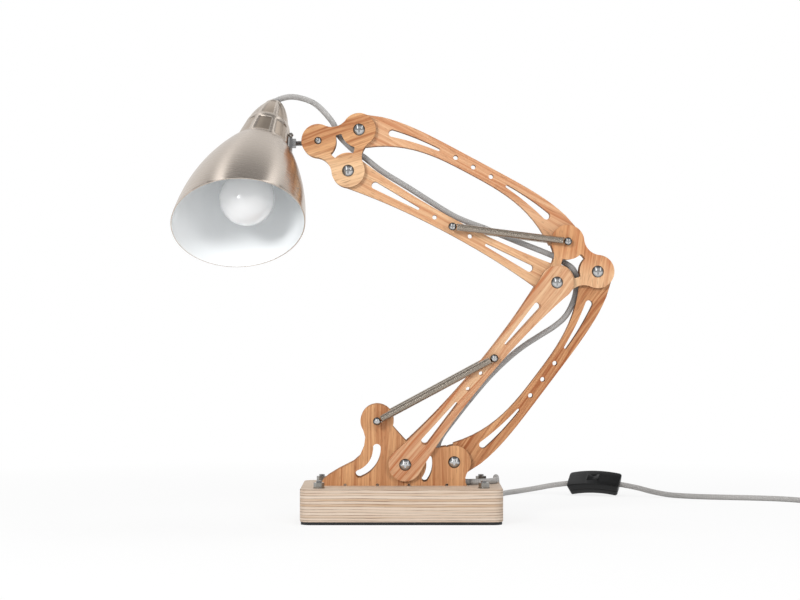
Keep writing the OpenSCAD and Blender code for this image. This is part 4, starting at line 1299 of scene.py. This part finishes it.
class LAMP_OT_stage(LampPiece, bpy.types.Operator):
    """Sets the pale floor, the lamps and the backdrop"""

    bl_idname = "lamp.stage"
    bl_label = "Stage"
    # name, place, what it points at, width, height and watts
    lamps = (
        ("key", (-1.3, -2.15, 1.2), (0, 0, 0.25), 0.8, 0.6, 37),
        ("fill", (1.4, -2.0, 1.3), (0, 0, 0.25), 1.1, 0.7, 17),
        ("top", (0.1, 0.3, 2.1), (0, 0, 0.2), 1.6, 1.2, 15),
    )
    # the upright strips that gloss shows: how far across, half their width, and strength
    strips = ((-0.40, 0.12, 1.9), (0.64, 0.11, 1.6))
    # a bright high window straight ahead: its height as a share, and its strength
    window_up, window_strength = 0.58, 1.1
    # a small bright lamp that glints on the bulb and the bolts
    spot_toward, spot_strength = Vector((-0.52, -0.85, 0.08)).normalized(), 9
    # the dim room itself, below and above, and the light that matt surfaces get from all round
    room_low, room_high, all_round = 0.45, 0.30, 0.45

    def build(self):
        clear()
        bpy.ops.mesh.primitive_plane_add(size=30, location=(0, 0, 0))
        floor = bpy.context.object
        floor.name = "floor"
        floor.data.materials.append(self.floor_finish())
        for lamp in self.lamps:
            self.lamp(*lamp)
        self.sky()
        bpy.context.scene.view_settings.view_transform = "Standard"

    def lamp(self, name, at, to, wide, tall, watts):
        """A soft box that gloss doesn't show."""
        clear()
        bpy.ops.object.light_add(type="AREA", location=at)
        made = bpy.context.object
        made.name = name
        made.data.shape = "RECTANGLE"
        made.data.size, made.data.size_y = wide, tall
        made.data.energy = watts
        made.visible_glossy = False
        made.rotation_euler = (Vector(to) - Vector(at)).to_track_quat("-Z", "Y").to_euler()

    def floor_finish(self):
        """A matt floor that keeps the shadow near the lamp and fades to white about it."""
        made = bpy.data.materials.new("pale_floor")
        made.use_nodes = True
        tree = made.node_tree
        tree.nodes.clear()
        path = tree.nodes.new("ShaderNodeLightPath").outputs
        seen = calc(tree, "MAXIMUM", path["Is Camera Ray"], path["Is Glossy Ray"])
        seen = calc(tree, "MAXIMUM", seen, path["Is Transmission Ray"])
        away = node(tree, "ShaderNodeVectorMath", {0: place(tree)}, operation="LENGTH").outputs["Value"]
        matt = node(tree, "ShaderNodeBsdfDiffuse", {"Color": (0.86, 0.86, 0.86, 1)}).outputs[0]
        glow = node(tree, "ShaderNodeEmission", {"Color": (1, 1, 1, 1), "Strength": 1.0}).outputs[0]
        share = calc(tree, "MULTIPLY", seen, spread(tree, away, 0.4, 1.0, 0.80, 1.0))
        both = node(tree, "ShaderNodeMixShader", {0: share, 1: matt, 2: glow}).outputs[0]
        node(tree, "ShaderNodeOutputMaterial", {"Surface": both})
        return made

    def sky(self):
        """White all round; in front, gloss shows a dim room with two strips, a high window and a spot."""
        world = bpy.data.worlds.new("studio")
        bpy.context.scene.world = world
        world.use_nodes = True
        tree = world.node_tree
        tree.nodes.clear()
        path = tree.nodes.new("ShaderNodeLightPath").outputs
        seen = calc(tree, "MAXIMUM", path["Is Camera Ray"], path["Is Transmission Ray"])
        heading = coordinates(tree, "Generated")
        across, back, up = separate(tree, heading)
        room = spread(tree, up, -0.2, 0.9, self.room_low, self.room_high)
        for at, half, strength in self.strips:
            off = calc(tree, "ABSOLUTE", calc(tree, "SUBTRACT", across, at))
            room = calc(tree, "ADD", room, spread(tree, off, half * 0.3, half, strength, 0))
        off = calc(tree, "ABSOLUTE", calc(tree, "SUBTRACT", up, self.window_up))
        high = spread(tree, off, 0.06, 0.16, self.window_strength, 0)
        ahead = spread(tree, calc(tree, "ABSOLUTE", across), 0.28, 0.40, 1, 0)
        room = calc(tree, "ADD", room, calc(tree, "MULTIPLY", high, ahead))
        both = {0: heading, 1: self.spot_toward}
        near = node(tree, "ShaderNodeVectorMath", both, operation="DOT_PRODUCT").outputs["Value"]
        room = calc(tree, "ADD", room, spread(tree, near, 0.994, 0.997, 0, self.spot_strength))
        room = blend_values(tree, spread(tree, back, 0.1, 0.5), room, 1.0)
        light = blend_values(tree, path["Is Glossy Ray"], self.all_round, room)
        light = blend_values(tree, seen, light, 1.0)
        shine = node(tree, "ShaderNodeBackground", {"Color": (1, 1, 1, 1), "Strength": light}).outputs[0]
        node(tree, "ShaderNodeOutputWorld", {"Surface": shine})


# ---- panel and start ------------------------------------------------------------------

STEPS = (
    LAMP_OT_camera, LAMP_OT_finishes, LAMP_OT_free_lead, LAMP_OT_held_lead, LAMP_OT_springs,
    LAMP_OT_shade, LAMP_OT_cover, LAMP_OT_bulb, LAMP_OT_base, LAMP_OT_plates, LAMP_OT_fittings,
    LAMP_OT_switch, LAMP_OT_plug, LAMP_OT_stage,
)


class LAMP_PT_panel(bpy.types.Panel):
    """Lists the lamp's sizes, colours and pieces"""

    bl_label = "Plywood Lamp"
    bl_space_type = "VIEW_3D"
    bl_region_type = "UI"
    bl_category = "Lamp"

    def draw(self, context):
        for held in (context.scene.lamp_sizes, context.scene.lamp_colours):
            box = self.layout.box()
            for key in held.__annotations__:
                box.prop(held, key)
        for step in STEPS:
            self.layout.operator(step.bl_idname)


CLASSES = (LampSizes, LampColours, *STEPS, LAMP_PT_panel)


def register():
    for kind in CLASSES:
        bpy.utils.register_class(kind)
    bpy.types.Scene.lamp_sizes = PointerProperty(type=LampSizes)
    bpy.types.Scene.lamp_colours = PointerProperty(type=LampColours)


def unregister():
    del bpy.types.Scene.lamp_colours
    del bpy.types.Scene.lamp_sizes
    for kind in reversed(CLASSES):
        bpy.utils.unregister_class(kind)


def main():
    register()
    for step in STEPS:
        family, call = step.bl_idname.split(".")
        getattr(getattr(bpy.ops, family), call)()


if __name__ == "__main__":
    main()
